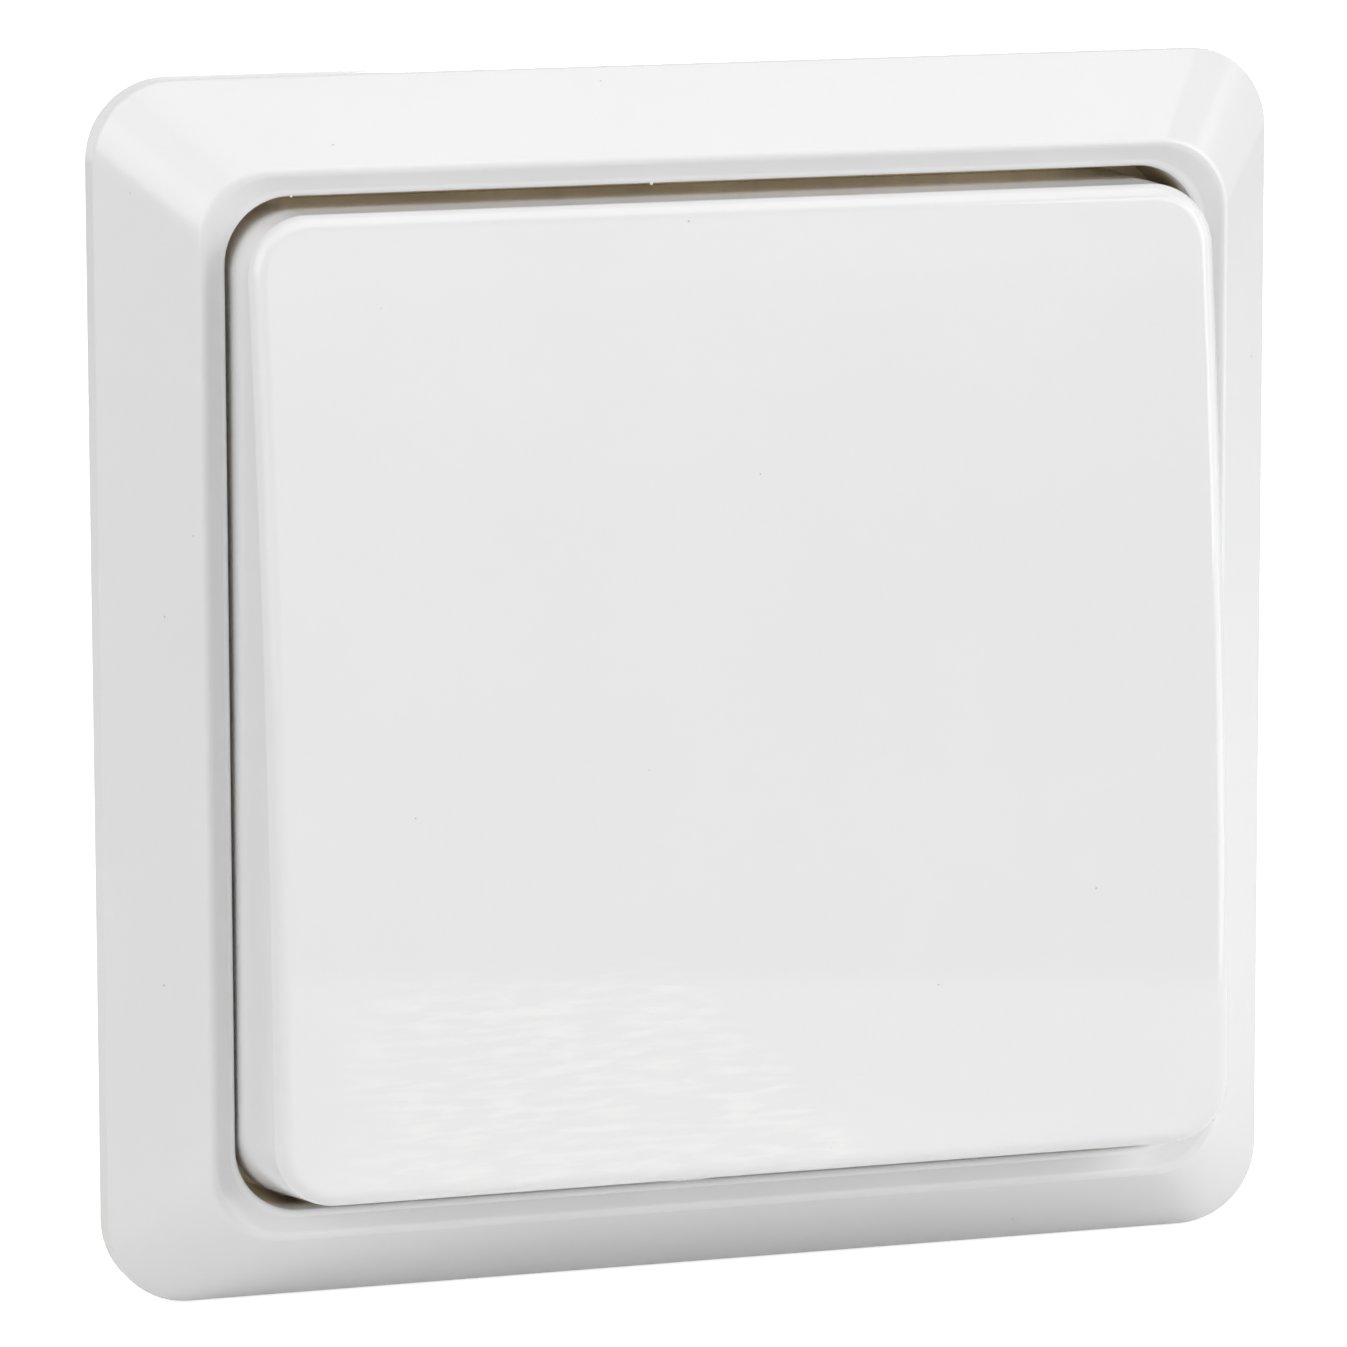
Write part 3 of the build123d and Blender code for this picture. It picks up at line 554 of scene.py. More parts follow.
def finished(
    name: str, bm: bmesh.types.BMesh, material: bpy.types.Material, smooth_to: float = 35.0
) -> bpy.types.Object:
    """Turns a mesh into a shaded object at the origin.

    Args:
        name: The piece's name.
        bm: Its mesh, which is freed.
        material: Its finish.
        smooth_to: Largest angle in degrees between faces that still shade as one surface.

    Returns:
        The object, linked to the scene.
    """
    mesh = bpy.data.meshes.new(name)
    bm.to_mesh(mesh)
    bm.free()
    mesh.shade_smooth()
    mesh.set_sharp_from_angle(angle=math.radians(smooth_to))
    mesh.materials.append(material)
    piece = bpy.data.objects.new(name, mesh)
    bpy.context.scene.collection.objects.link(piece)
    weighted = piece.modifiers.new("even shading", "WEIGHTED_NORMAL")
    weighted.keep_sharp = True
    return piece


def settle(piece: bpy.types.Object, body: str, slot: str, *nodes: str) -> None:
    """Lets a piece ride a body and stand for CAD nodes.

    Args:
        piece: The piece.
        body: Body that carries it.
        slot: Slot of its finish in the record; not used.
        nodes: CAD nodes that it stands for.
    """
    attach(piece, body)
    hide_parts(*nodes)
    count = len(piece.data.vertices)
    log.info("%s: %d vertices, rides %s, stands for %s", piece.name, count, body, ", ".join(nodes))


def dress(shelf: FinishShelf, node: str, slot: str) -> None:
    """Gives a CAD node its slot's finish.

    Args:
        shelf: Source of the finish.
        node: The CAD node's name.
        slot: The slot's name in the record.
    """
    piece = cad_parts[node]
    piece.data.materials.clear()
    piece.data.materials.append(shelf.take(slot))
    log.info("%s: solid as packed, finish %s", node, slot)


# Cover frame
@dataclass(frozen=True)
class Section:
    """One closed line round the frame: width, corner radius, height above the wall and radius of its edge."""

    size: float
    corner: float
    height: float
    edge: float = 0.0

    def point(self) -> Vector:
        """Half width and height, as a point of the frame's profile."""
        return Vector((self.size / 2, self.height))


@dataclass
class CoverFrame:
    """Square frame with sloping faces, a narrow crest, a funnel lip and a hollow back."""

    shelf: FinishShelf
    size: float = 80.0
    corner: float = 5.3
    wall: float = 2.4
    slope: float = 5.3
    crest: float = 9.1
    crest_corner: float = 4.6
    crest_width: float = 0.4
    funnel: float = 0.95
    lip: float = 8.6
    ledge: float = 0.4
    lip_corner: float = 4.3
    skin: float = 1.8
    inner_wall: float = 1.2
    groove: float = 0.5
    ring: float = 1.2
    rear_edge: float = 0.2
    shoulder_edge: float = 0.6
    crest_edge: float = 0.42
    ledge_edge: float = 0.2
    lip_edge: float = 0.3
    inner_edge: float = 0.15
    rib: float = 1.0
    rib_offsets: tuple[float, ...] = (-27.0, -9.0, 9.0, 27.0)
    rib_low: float = 1.35
    flash: tuple[tuple[float, float], ...] = ((-28.6, 0.09), (-4.7, 0.12))
    corner_steps: int = 14
    edge_steps: int = 5

    def skin_height(self, half: float) -> float:
        """Finds the height of the inner sloping surface.

        Args:
            half: Distance from the middle.

        Returns:
            The height above the wall.
        """
        rise = self.crest - self.wall
        length = math.hypot(self.slope, rise)
        reach = self.size / 2 - self.skin * rise / length - half
        return self.wall - self.skin * self.slope / length + reach * rise / self.slope

    def sections(self) -> list[Section]:
        """Lists the frame's lines.

        Returns:
            The lines in order: outside, crest, lip, opening, inner wall, hollow and rear rim.
        """
        crest = self.size - 2 * self.slope
        crest_inner = crest - 2 * self.crest_width
        ledge = crest_inner - 2 * self.funnel
        opening = ledge - 2 * self.ledge
        wall = opening + 2 * self.inner_wall
        wall_corner = self.lip_corner + self.inner_wall
        groove = wall + 2 * self.groove
        rim = self.size - 2 * self.skin
        rim_corner = self.corner - self.skin
        top = self.skin_height(groove / 2)
        return [
            Section(self.size, self.corner, 0.0, self.rear_edge),
            Section(self.size, self.corner, self.wall, self.shoulder_edge),
            Section(crest, self.crest_corner, self.crest, self.crest_edge),
            Section(crest_inner, self.crest_corner, self.crest, self.crest_edge),
            Section(ledge, self.lip_corner, self.lip, self.ledge_edge),
            Section(opening, self.lip_corner, self.lip, self.lip_edge),
            Section(opening, self.lip_corner, self.ring, self.inner_edge),
            Section(wall, wall_corner, self.ring, self.inner_edge),
            Section(wall, wall_corner, top),
            Section(groove, self.lip_corner, top),
            Section(rim, rim_corner, self.skin_height(rim / 2)),
            Section(rim, rim_corner, 0.0, self.rear_edge),
        ]

    def build(self) -> bpy.types.Object:
        """Builds and dresses the frame.

        Its lines stand apart while they are joined, because joining lines in one plane twists the faces.

        Returns:
            The frame's object, riding the housing.
        """
        bm = bmesh.new()
        lines = self.sections()
        loops = [self.outline(bm, line, index * APART) for index, line in enumerate(lines)]
        for first, second in zip(loops, loops[1:] + loops[:1]):
            bmesh.ops.bridge_loops(bm, edges=first + second)
        for index, (loop, line) in enumerate(zip(loops, lines)):
            fall = (index * APART - line.height) * MM
            bmesh.ops.translate(bm, vec=(0, fall, 0), verts=list({v for e in loop for v in e.verts}))
        bmesh.ops.recalc_face_normals(bm, faces=bm.faces)
        for index, line in enumerate(lines):
            if line.edge:
                before = lines[index - 1].point() - line.point()
                after = lines[(index + 1) % len(lines)].point() - line.point()
                round_edges(bm, loops[index], line.edge / math.tan(before.angle(after) / 2), self.edge_steps)
        self.add_ribs(bm)
        self.add_flash(bm)
        piece = finished("frame_moulding", bm, self.shelf.take("frame_white"))
        settle(piece, "housing", "frame_white", "cover_frame")
        return piece

    def outline(self, bm: bmesh.types.BMesh, line: Section, height: float) -> list[bmesh.types.BMEdge]:
        """Draws one section's closed line.

        Args:
            bm: Mesh that gets the line.
            line: The section.
            height: Height at which it is drawn.

        Returns:
            The line's edges.
        """
        face = rounded_plate(bm, line.size, line.size, line.corner, height, self.corner_steps)
        edges = list(face.edges)
        bmesh.ops.delete(bm, geom=[face], context="FACES_ONLY")
        return edges

    def add_ribs(self, bm: bmesh.types.BMesh) -> None:
        """Adds the stiffening ribs that cross the hollow on all four sides.

        Args:
            bm: The frame's mesh.
        """
        lines = self.sections()
        wall, groove, rim = (lines[at].size / 2 for at in (Line.INNER_WALL, Line.GROOVE, Line.REAR_RIM))
        bite = self.inner_wall / 4
        top = lines[Line.GROOVE].height + bite
        outline = [
            (wall - bite, self.rib_low),
            (rim + bite, self.rib_low),
            (rim + bite, lines[Line.REAR_RIM].height),
            (groove, top),
            (wall - bite, top),
        ]
        for offset in self.rib_offsets:
            points = [Vector((x, -height, offset - self.rib / 2)) * MM for x, height in outline]
            for quarters in range(4):
                verts = prism(bm, points, Vector((0, 0, self.rib * MM)))
                turn = Matrix.Rotation(quarters * QUARTER, 3, "Y")
                bmesh.ops.rotate(bm, verts=verts, cent=(0, 0, 0), matrix=turn)

    def add_flash(self, bm: bmesh.types.BMesh) -> None:
        """Adds the specks of moulding flash left on the upper lip's edge.

        Args:
            bm: The frame's mesh.
        """
        edge = self.sections()[Line.OPENING].size / 2
        for x, radius in self.flash:
            place = Matrix.Translation(Vector((x, radius - self.lip, edge)) * MM)
            bmesh.ops.create_icosphere(bm, subdivisions=2, radius=radius * MM, matrix=place)


# Rocker
@dataclass
class RockerCap:
    """Domed rocker cap with soft front edges, hollow behind, standing with its upper end pressed in."""

    shelf: FinishShelf
    width: float = 65.6
    length: float = 63.9
    rim_length: float = 64.6
    corner: float = 4.4
    draft: float = 2.0
    edge: float = 1.1
    inner_edge: float = 0.4
    wall: float = 1.6
    ceiling: float = 2.0
    tilt: float = 4.4
    face_radius: float = 420.0
    face_rise: float = 10.2
    skirt: float = 1.8
    pivot: float = 6.0
    rib: float = 1.2
    rib_offset: float = 23.0
    rib_low: float = 5.6
    post_offset: float = 11.0
    post: float = 2.2
    post_neck: float = 1.4
    post_head: float = 1.9
    post_steps: int = 24
    plate_low: float = 2.8
    plate_high: float = 4.4
    strips: int = 28
    uncut_corners: float = 2.5
    corner_steps: int = 14
    edge_steps: int = 8

    def dome(self, radius: float, z: float) -> float:
        """Height of a cylinder about the face's axis at a place along Z, in metres."""
        axis = self.pivot + self.face_rise - self.face_radius
        return (axis + math.sqrt(radius**2 - (z / MM) ** 2)) * MM

    def build(self) -> bpy.types.Object:
        """Builds and dresses the cap.

        Returns:
            The cap's object, riding the rocker.
        """
        bm = bmesh.new()
        outer = self.shell(bm, 0.0, self.face_radius, self.edge)
        outer_verts = list(bm.verts)
        inner = self.shell(bm, self.wall, self.face_radius - self.ceiling, self.inner_edge)
        bmesh.ops.translate(bm, vec=(0, -APART * MM, 0), verts=outer_verts)
        bmesh.ops.bridge_loops(bm, edges=outer + inner)
        bmesh.ops.translate(bm, vec=(0, APART * MM, 0), verts=outer_verts)
        bmesh.ops.recalc_face_normals(bm, faces=bm.faces)
        self.add_ribs(bm)
        self.add_posts(bm)
        turn = Matrix.Rotation(-math.radians(self.tilt), 3, "X")
        bmesh.ops.rotate(bm, verts=bm.verts, cent=(0, -self.pivot * MM, 0), matrix=turn)
        piece = finished("rocker_moulding", bm, self.shelf.take("rocker_white"))
        settle(piece, "rocker", "rocker_white", "rocker_cap")
        return piece

    def shell(
        self, bm: bmesh.types.BMesh, inset: float, radius: float, edge: float
    ) -> list[bmesh.types.BMEdge]:
        """Adds an open domed shell.

        Args:
            bm: Mesh that gets the shell.
            inset: Distance from the cap's outline to the shell's.
            radius: Radius of its domed front.
            edge: Radius of its front edges.

        Returns:
            Edges of the open rim.
        """
        rim_height = self.pivot - self.skirt
        width, length, corner = self.width - 2 * inset, self.length - 2 * inset, self.corner - inset
        base = rounded_plate(bm, width, self.rim_length - 2 * inset, corner, rim_height, self.corner_steps)
        rim = list(base.edges)
        front = extruded(bm, base, Vector((0, -(self.pivot + self.face_rise - rim_height) * MM, 0)))
        bmesh.ops.delete(bm, geom=[base], context="FACES_ONLY")
        strips = [front]
        straight = length - self.uncut_corners * corner
        for index in range(self.strips + 1):
            z = (index / self.strips - 0.5) * straight * MM
            edges, verts = {e for f in strips for e in f.edges}, {v for f in strips for v in f.verts}
            cut = bmesh.ops.bisect_plane(
                bm, geom=[*strips, *edges, *verts], dist=MERGE, plane_co=(0, 0, z), plane_no=(0, 0, 1)
            )
            strips = [f for f in cut["geom"] if isinstance(f, bmesh.types.BMFace)]
        for vert in {v for f in strips for v in f.verts}:
            self.draw_in(vert, inset, radius)
        chosen = set(strips)
        border = [e for f in strips for e in f.edges if any(g not in chosen for g in e.link_faces)]
        round_edges(bm, border, edge, self.edge_steps)
        return rim

    def draw_in(self, vert: bmesh.types.BMVert, inset: float, radius: float) -> None:
        """Moves a front vertex in from the rim's outline to the face's, and down onto the dome.

        Args:
            vert: Vertex of the front's outline, straight above the rim.
            inset: Distance from the cap's outline to this one.
            radius: Radius of the dome.
        """
        place = vert.co.xz / MM
        rise = self.dome(radius, vert.co.z) / MM - (self.pivot - self.skirt)
        corner = self.corner - inset
        outward = place - held_in(place, self.width / 2 - self.corner, self.rim_length / 2 - self.corner)
        inner = held_in(place, self.width / 2 - self.corner, self.length / 2 - self.corner)
        drawn = inner + outward.normalized() * (corner - rise * math.tan(math.radians(self.draft)))
        vert.co = (drawn.x * MM, -self.dome(radius, drawn.y * MM), drawn.y * MM)

    def add_ribs(self, bm: bmesh.types.BMesh) -> None:
        """Adds two upright ribs and two across, under the ceiling.

        Args:
            bm: The cap's mesh.
        """
        low = -(self.pivot + self.rib_low)
        half_width = (self.width - self.wall) / 2
        half_length = (self.length - self.wall) / 2
        top = -(self.pivot + self.face_rise - self.ceiling) + half_length**2 / (2 * self.face_radius)
        for offset in (-self.rib_offset, self.rib_offset):
            start, end = offset - self.rib / 2, offset + self.rib / 2
            upright = [(start, -half_length), (end, -half_length), (end, half_length), (start, half_length)]
            across = [(-half_width, start), (half_width, start), (half_width, end), (-half_width, end)]
            for outline in (upright, across):
                points = [Vector((x, low, z)) * MM for x, z in outline]
                prism(bm, points, Vector((0, (top - low - self.ceiling / 2) * MM, 0)))

    def add_posts(self, bm: bmesh.types.BMesh) -> None:
        """Adds the two clip posts with their barbed heads.

        Args:
            bm: The cap's mesh.
        """
        top = self.pivot + self.face_rise - self.ceiling / 2
        shoulder = self.pivot + self.plate_high
        under = self.pivot + self.plate_low
        tip = under - (self.post_head - self.post_neck + self.post_neck / 2)
        profile = [
            (0.0, top), (self.post, top), (self.post, shoulder), (self.post_neck, shoulder),
            (self.post_neck, under), (self.post_head, under), (self.post_neck / 2, tip), (0.0, tip),
        ]
        for z in (-self.post_offset, self.post_offset):
            spun(bm, profile, Vector((0, 0, z)) * MM, self.post_steps)


# Pieces that keep their solid's form
@dataclass(frozen=True)
class EdgedSolid:
    """A piece with its solid's own form, merged and given small broken edges."""

    node: str
    body: str
    slot: str
    edge: float
    steps: int = 2
    flat_to: float = 0.5
    sharp_from: float = 40.0

    def build(self, shelf: FinishShelf) -> bpy.types.Object:
        """Builds and dresses the piece.

        Args:
            shelf: Source of its finish.

        Returns:
            The piece's object, riding its body.
        """
        bm = bmesh.new()
        bm.from_mesh(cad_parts[self.node].data)
        bmesh.ops.remove_doubles(bm, verts=bm.verts, dist=NODE_MERGE)
        bmesh.ops.dissolve_limit(
            bm, angle_limit=math.radians(self.flat_to), verts=bm.verts, edges=bm.edges
        )
        limit = math.radians(self.sharp_from)
        sharp = [e for e in bm.edges if len(e.link_faces) == 2 and e.calc_face_angle() > limit]
        round_edges(bm, sharp, self.edge, self.steps)
        piece = finished(f"{self.node}_edged", bm, shelf.take(self.slot))
        settle(piece, self.body, self.slot, self.node)
        return piece


@dataclass
class MountingRing:
    """Pressed steel ring behind the frame."""

    shelf: FinishShelf
    edge: float = 0.12

    def build(self) -> bpy.types.Object:
        """Builds the ring with its edges broken by the press."""
        return EdgedSolid("support_ring", "housing", "zinc_steel", self.edge).build(self.shelf)


@dataclass
class Insert:
    """Insert behind the ring: tub, rear cover, front plate, rivets and release buttons."""

    shelf: FinishShelf
    places: tuple[str, ...] = ("common", "upper", "lower")
    base_edge: float = 0.12
    cover_edge: float = 0.14
    button_edge: float = 0.1

    def build(self) -> list[bpy.types.Object]:
        """Builds the insert's outer pieces and dresses the rest.

        Returns:
            The pieces built.
        """
        pieces = [
            EdgedSolid("insert_base", "housing", "insert_grey", self.base_edge).build(self.shelf),
            EdgedSolid("rear_cover", "housing", "cover_grey", self.cover_edge).build(self.shelf),
        ]
        for place in self.places:
            body = f"button_{place}"
            button = EdgedSolid(f"release_{body}", body, "button_orange", self.button_edge)
            pieces.append(button.build(self.shelf))
        dress(self.shelf, "insert_cover", "insert_grey")
        dress(self.shelf, "ring_rivets", "rivet_metal")
        return pieces


@dataclass
class ClawSet:
    """The two toothed claws with their threaded screws."""

    shelf: FinishShelf
    x: float = 24.5
    z: float = 9.0
    claw_edge: float = 0.1
    head: float = 2.6
    head_front: float = 2.8
    head_base: float = 2.0
    ring: float = 1.2
    head_edge: float = 0.5
    head_steps: int = 3
    slot: float = 0.8
    shank: float = 1.5
    core: float = 1.2
    pitch: float = 0.5
    thread_start: float = 1.0
    thread_bite: float = 0.05
    thread_share: float = 0.42
    end: float = 23.979
    collar: float = 2.1
    collar_height: float = 0.6
    steps: int = 32
    thread_steps: int = 20

    def build(self) -> list[bpy.types.Object]:
        """Builds both claws and both screws.

        Returns:
            The pieces built.
        """
        pieces = []
        for side in Side:
            claw = f"claw_{side.name.lower()}"
            pieces.append(EdgedSolid(claw, claw, "zinc_steel", self.claw_edge).build(self.shelf))
            pieces.append(self.screw(side))
        return pieces

    def screw(self, side: Side) -> bpy.types.Object:
        """Builds one slotted screw with its thread and end collar.

        Args:
            side: The side it stands on.

        Returns:
            The screw's object, riding its own body.
        """
        name = side.name.lower()
        foot = Vector((side.value * self.x, 0, side.value * self.z)) * MM
        bm = bmesh.new()
        collar_top = -(self.end - self.collar_height)
        profile = [
            (0.0, self.head_base), (self.head, self.head_base), (self.head, self.ring),
            (self.core, self.ring), (self.core, collar_top), (self.collar, collar_top),
            (self.collar, -self.end), (0.0, -self.end),
        ]
        spun(bm, profile, foot, self.steps)
        for half in (-1, 1):
            self.add_lobe(bm, foot, half)
        self.add_thread(bm, foot)
        piece = finished(f"claw_screw_{name}_turned", bm, self.shelf.take("screw_steel"))
        settle(piece, f"screw_{name}", "screw_steel", f"claw_screw_{name}")
        return piece

    def add_lobe(self, bm: bmesh.types.BMesh, foot: Vector, half: int) -> None:
        """Adds one half of the head beside the slot, with its rim rounded.

        Args:
            bm: The screw's mesh.
            foot: Point on the screw's axis at height 0, in metres.
            half: Sign of Z on this half's side of the slot.
        """
        place = Matrix.Translation(foot) @ facing_room(self.head_base)
        made = bmesh.ops.create_circle(
            bm, cap_ends=True, segments=self.steps, radius=self.head * MM, matrix=place
        )
        face = made["verts"][0].link_faces[0]
        slot_side = foot + Vector((0, 0, half * self.slot * MM / 2))
        cut = bmesh.ops.bisect_plane(
            bm, geom=[*face.verts, *face.edges, face], dist=MERGE,
            plane_co=slot_side, plane_no=(0, 0, -half), clear_outer=True,
        )
        lobe = next(f for f in cut["geom"] if isinstance(f, bmesh.types.BMFace))
        top = extruded(bm, lobe, Vector((0, -(self.head_front - self.head_base) * MM, 0)))
        inner = (self.head - self.head_edge / 4) * MM
        rim = [
            e for e in top.edges
            if e.calc_length() < self.head * MM and all((v.co - foot).xz.length > inner for v in e.verts)
        ]
        bmesh.ops.recalc_face_normals(bm, faces=list({f for v in top.verts for f in v.link_faces}))
        round_edges(bm, rim, self.head_edge, self.head_steps)

    def add_thread(self, bm: bmesh.types.BMesh, foot: Vector) -> None:
        """Adds the thread's ridge as a helix round the core.

        Args:
            bm: The screw's mesh.
            foot: Point on the screw's axis at height 0, in metres.
        """
        length = self.end - self.collar_height - self.thread_start - self.pitch
        turns = int(length / self.pitch)
        half = self.pitch * self.thread_share
        start = self.thread_start + half
        root = self.core - self.thread_bite
        corners = [(root, start - half), (self.shank, start), (root, start + half)]
        verts = [bm.verts.new(foot + Vector((radius, depth, 0)) * MM) for radius, depth in corners]
        face = bm.faces.new(verts)
        before = set(bm.faces) - {face}
        bmesh.ops.spin(
            bm, geom=[*face.verts, *face.edges, face], cent=foot, axis=(0, 1, 0),
            dvec=(0, self.pitch * MM / self.thread_steps, 0), angle=turns * FULL_TURN,
            steps=turns * self.thread_steps,
        )
        bmesh.ops.recalc_face_normals(bm, faces=[f for f in bm.faces if f not in before])


@dataclass
class ContactTrain:
    """Pieces inside the insert that keep their solids: carrier, pin, contacts, terminals and springs."""

    shelf: FinishShelf

    def build(self) -> None:
        """Dresses each inner node."""
        slots = {
            "rocker_cradle": "cradle_white",
            "plunger": "plunger_grey",
            "plunger_spring": "spring_steel",
            "contact_lever": "contact_brass",
            "lever_rivets": "contact_silver",
            "common_terminal": "contact_brass",
            "upper_terminal": "contact_brass",
            "lower_terminal": "contact_brass",
            "fixed_rivets": "contact_silver",
            "clamp_spring_common": "spring_steel",
            "clamp_spring_upper": "spring_steel",
            "clamp_spring_lower": "spring_steel",
        }
        for node, slot in slots.items():
            dress(self.shelf, node, slot)


# Studio
def seen_rays(tree: bpy.types.NodeTree, *kinds: str) -> bpy.types.NodeSocket:
    """Finds whether a ray is of one of the named kinds.

    Args:
        tree: Node tree that gets the nodes.
        kinds: Names of Light Path's outputs.

    Returns:
        A socket that is 1 for those rays and 0 for others.
    """
    path = tree.nodes.new("ShaderNodeLightPath")
    share = path.outputs[kinds[0]]
    for kind in kinds[1:]:
        larger = tree.nodes.new("ShaderNodeMath")
        larger.operation = "MAXIMUM"
        tree.links.new(share, larger.inputs[0])
        tree.links.new(path.outputs[kind], larger.inputs[1])
        share = larger.outputs["Value"]
    return share


@dataclass(frozen=True)
class Softbox:
    """A square soft lamp that faces the switch, in metres and watts."""

    name: str
    place: Place
    size: float
    power: float

    def build(self) -> None:
        """Adds the lamp to the scene."""
        data = bpy.data.lights.new(self.name, "AREA")
        data.shape = "SQUARE"
        data.size = self.size
        data.energy = self.power
        lamp = bpy.data.objects.new(self.name, data)
        lamp.location = self.place
        lamp.rotation_mode = "QUATERNION"
        lamp.rotation_quaternion = (-Vector(self.place)).to_track_quat("-Z", "Y")
        bpy.context.scene.collection.objects.link(lamp)


@dataclass
class Studio:
    """Pale floor, white surroundings, soft lamps and a dim panel in front, in metres."""

    floor_level: float = -0.0401
    floor_front: float = -0.154
    floor_rear: float = 0.8
    floor_half: float = 0.9
    floor_turn: float = 39.5
    floor_albedo: float = 0.9
    floor_roughness: float = 0.9
    floor_glow: float = 0.3
    floor_white: float = 0.72
    shadow_reach: Span = (0.06, 0.2)
    panel_place: Place = (0.33, -1.1, 0.0)
    panel_half: float = 0.3
    panel_dim: float = 0.1
    panel_bright: float = 1.9
    ambient: float = 0.0
    lamps: tuple[Softbox, ...] = (
        Softbox("top softbox", (0.05, -0.30, 0.80), 0.9, 3.4),
        Softbox("right softbox", (0.85, -0.40, 0.25), 0.95, 5.5),
        Softbox("front softbox", (0.70, -0.95, 0.30), 0.6, 3.3),
        Softbox("left softbox", (-0.806, -0.197, 0.558), 0.9, 4.05),
        Softbox("left fill", (-0.85, -0.50, 0.30), 0.8, 2.1),
        Softbox("rear softbox", (0.40, 0.95, 0.02), 0.3, 2.8),
    )

    def build(self) -> None:
        """Builds the floor, the surroundings, the panel and the lamps."""
        self.floor()
        self.surroundings()
        self.panel()
        for lamp in self.lamps:
            lamp.build()

    def flat(self, name: str, place: Matrix, material: bpy.types.Material) -> bpy.types.Object:
        """Adds a flat stage piece.

        Args:
            name: Its name.
            place: Matrix that sizes, turns and places a square of 2 m in its mesh.
            material: Its finish.

        Returns:
            The piece's object.
        """
        bm = bmesh.new()
        bmesh.ops.create_grid(bm, x_segments=1, y_segments=1, size=1.0, matrix=place)
        mesh = bpy.data.meshes.new(name)
        bm.to_mesh(mesh)
        bm.free()
        mesh.materials.append(material)
        piece = bpy.data.objects.new(name, mesh)
        bpy.context.scene.collection.objects.link(piece)
        piece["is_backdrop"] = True
        return piece

    def floor(self) -> None:
        """Builds the floor, white to the camera apart from the object's shadow."""
        depth = (self.floor_rear - self.floor_front) / 2
        middle = (self.floor_rear + self.floor_front) / 2
        turn = Matrix.Rotation(math.radians(self.floor_turn), 4, "Z")
        size = Matrix.Diagonal((self.floor_half, depth, 1, 1))
        place = Matrix.Translation((0, middle, self.floor_level)) @ size
        self.flat("studio_floor", turn @ place, self.floor_finish())

    def panel(self) -> None:
        """Builds the panel in front, brighter upwards, that only reflections show."""
        sheet = ShaderSheet("dim front panel")
        height = sheet.add("ShaderNodeSeparateXYZ", Vector=sheet.place).outputs["Z"]
        glow = sheet.ramp(height, -self.panel_half, self.panel_half, self.panel_dim, self.panel_bright)
        material = sheet.shade(
            Base_Color=BLACK, Specular_IOR_Level=0.0, Emission_Color=WHITE, Emission_Strength=glow
        )
        place = Matrix.Translation(self.panel_place) @ Matrix.Rotation(QUARTER, 4, "X")
        panel = self.flat("front_panel", place @ Matrix.Scale(self.panel_half, 4), material)
        panel.visible_camera = False
        panel.visible_diffuse = False
        panel.visible_shadow = False
        panel.visible_transmission = False

    def floor_finish(self) -> bpy.types.Material:
        """Makes the matt pale floor, with a glow that lights nothing and is white away from the shadow.

        Returns:
            The material.
        """
        sheet = ShaderSheet("pale studio floor")
        away = sheet.add("ShaderNodeVectorMath", Vector=sheet.place)
        away.operation = "LENGTH"
        white = sheet.ramp(away.outputs["Value"], *self.shadow_reach, self.floor_white, 1.0)
        seen = sheet.calc("MULTIPLY", seen_rays(sheet.tree, "Is Camera Ray"), white)
        bounced = seen_rays(sheet.tree, "Is Glossy Ray", "Is Transmission Ray")
        mirrored = sheet.calc("MULTIPLY", bounced, self.floor_glow)
        shade = self.floor_albedo
        return sheet.shade(
            Base_Color=(shade, shade, shade, 1.0), Roughness=self.floor_roughness, Specular_IOR_Level=0.0,
            Emission_Color=WHITE, Emission_Strength=sheet.calc("ADD", seen, mirrored),
        )

    def surroundings(self) -> None:
        """Builds a white world for camera, glossy and transmitted rays, at the ambient level for the rest."""
        world = bpy.data.worlds.new("studio")
        bpy.context.scene.world = world
        world.use_nodes = True
        tree = world.node_tree
        tree.nodes.clear()
        choice = tree.nodes.new("ShaderNodeMixShader")
        seen = seen_rays(tree, "Is Camera Ray", "Is Glossy Ray", "Is Transmission Ray")
        tree.links.new(seen, choice.inputs["Fac"])
        for socket, strength in ((1, self.ambient), (2, 1.0)):
            light = tree.nodes.new("ShaderNodeBackground")
            light.inputs["Color"].default_value = WHITE
            light.inputs["Strength"].default_value = strength
            tree.links.new(light.outputs[0], choice.inputs[socket])
        out = tree.nodes.new("ShaderNodeOutputWorld")
        tree.links.new(choice.outputs[0], out.inputs["Surface"])


@dataclass(frozen=True)
class Viewpoint:
    """The photograph's camera: angles in degrees, lengths in millimetres, scale in pixels per millimetre."""

    azimuth: float = -17.425
    elevation: float = 9.719
    roll: float = -0.138
    distance: float = 524.75
    aside: float = 0.590
    above: float = 0.616
    scale: float = 15.1283
    picture: float = 1347.0
    sensor: float = 36.0
    nearest: float = 10.0

    def build(self) -> None:
        """Sets the scene's camera."""
        data = bpy.data.cameras.new("viewpoint")
        data.sensor_width = self.sensor
        data.lens = self.sensor * self.scale * self.distance / self.picture
        data.clip_start = self.nearest * MM
        camera = bpy.data.objects.new("viewpoint", data)
        turn = (
            Matrix.Rotation(math.radians(self.azimuth), 4, "Z")
            @ Matrix.Rotation(QUARTER - math.radians(self.elevation), 4, "X")
            @ Matrix.Rotation(math.radians(self.roll), 4, "Z")
        )
        away = Vector((-self.aside, -self.above, self.distance)) * MM
        camera.matrix_world = turn @ Matrix.Translation(away)
        bpy.context.scene.collection.objects.link(camera)
        bpy.context.scene.camera = camera


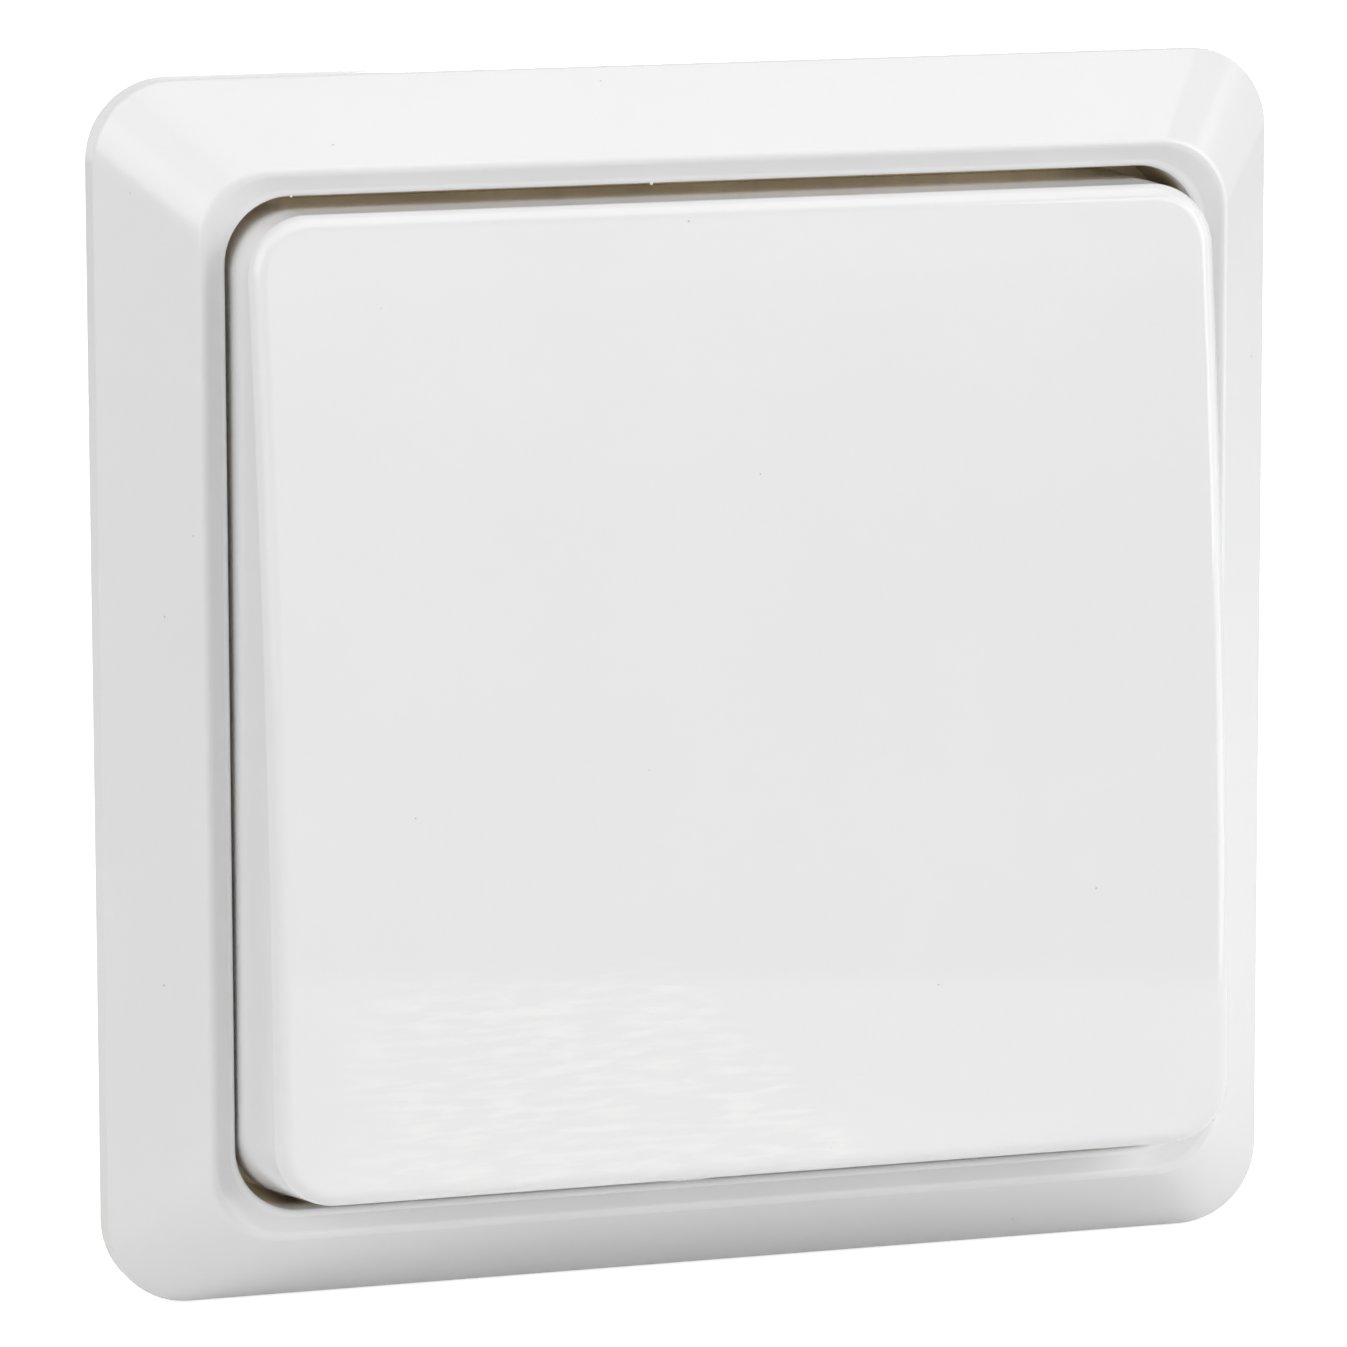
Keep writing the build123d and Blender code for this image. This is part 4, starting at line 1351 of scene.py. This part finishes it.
def main() -> None:
    """Builds the switch's pieces, the studio and the camera."""
    logging.basicConfig(level=logging.INFO, format="%(name)s: %(message)s")
    shelf = FinishShelf()
    CoverFrame(shelf).build()
    RockerCap(shelf).build()
    MountingRing(shelf).build()
    Insert(shelf).build()
    ClawSet(shelf).build()
    ContactTrain(shelf).build()
    Studio().build()
    Viewpoint().build()
    bpy.context.scene.view_settings.view_transform = "Standard"
    boxes = {"cad": CAD_BOX, "visual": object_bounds()}
    sizes = {name: [list(corner) for corner in box] for name, box in boxes.items()}


if __name__ == "__main__":
    main()
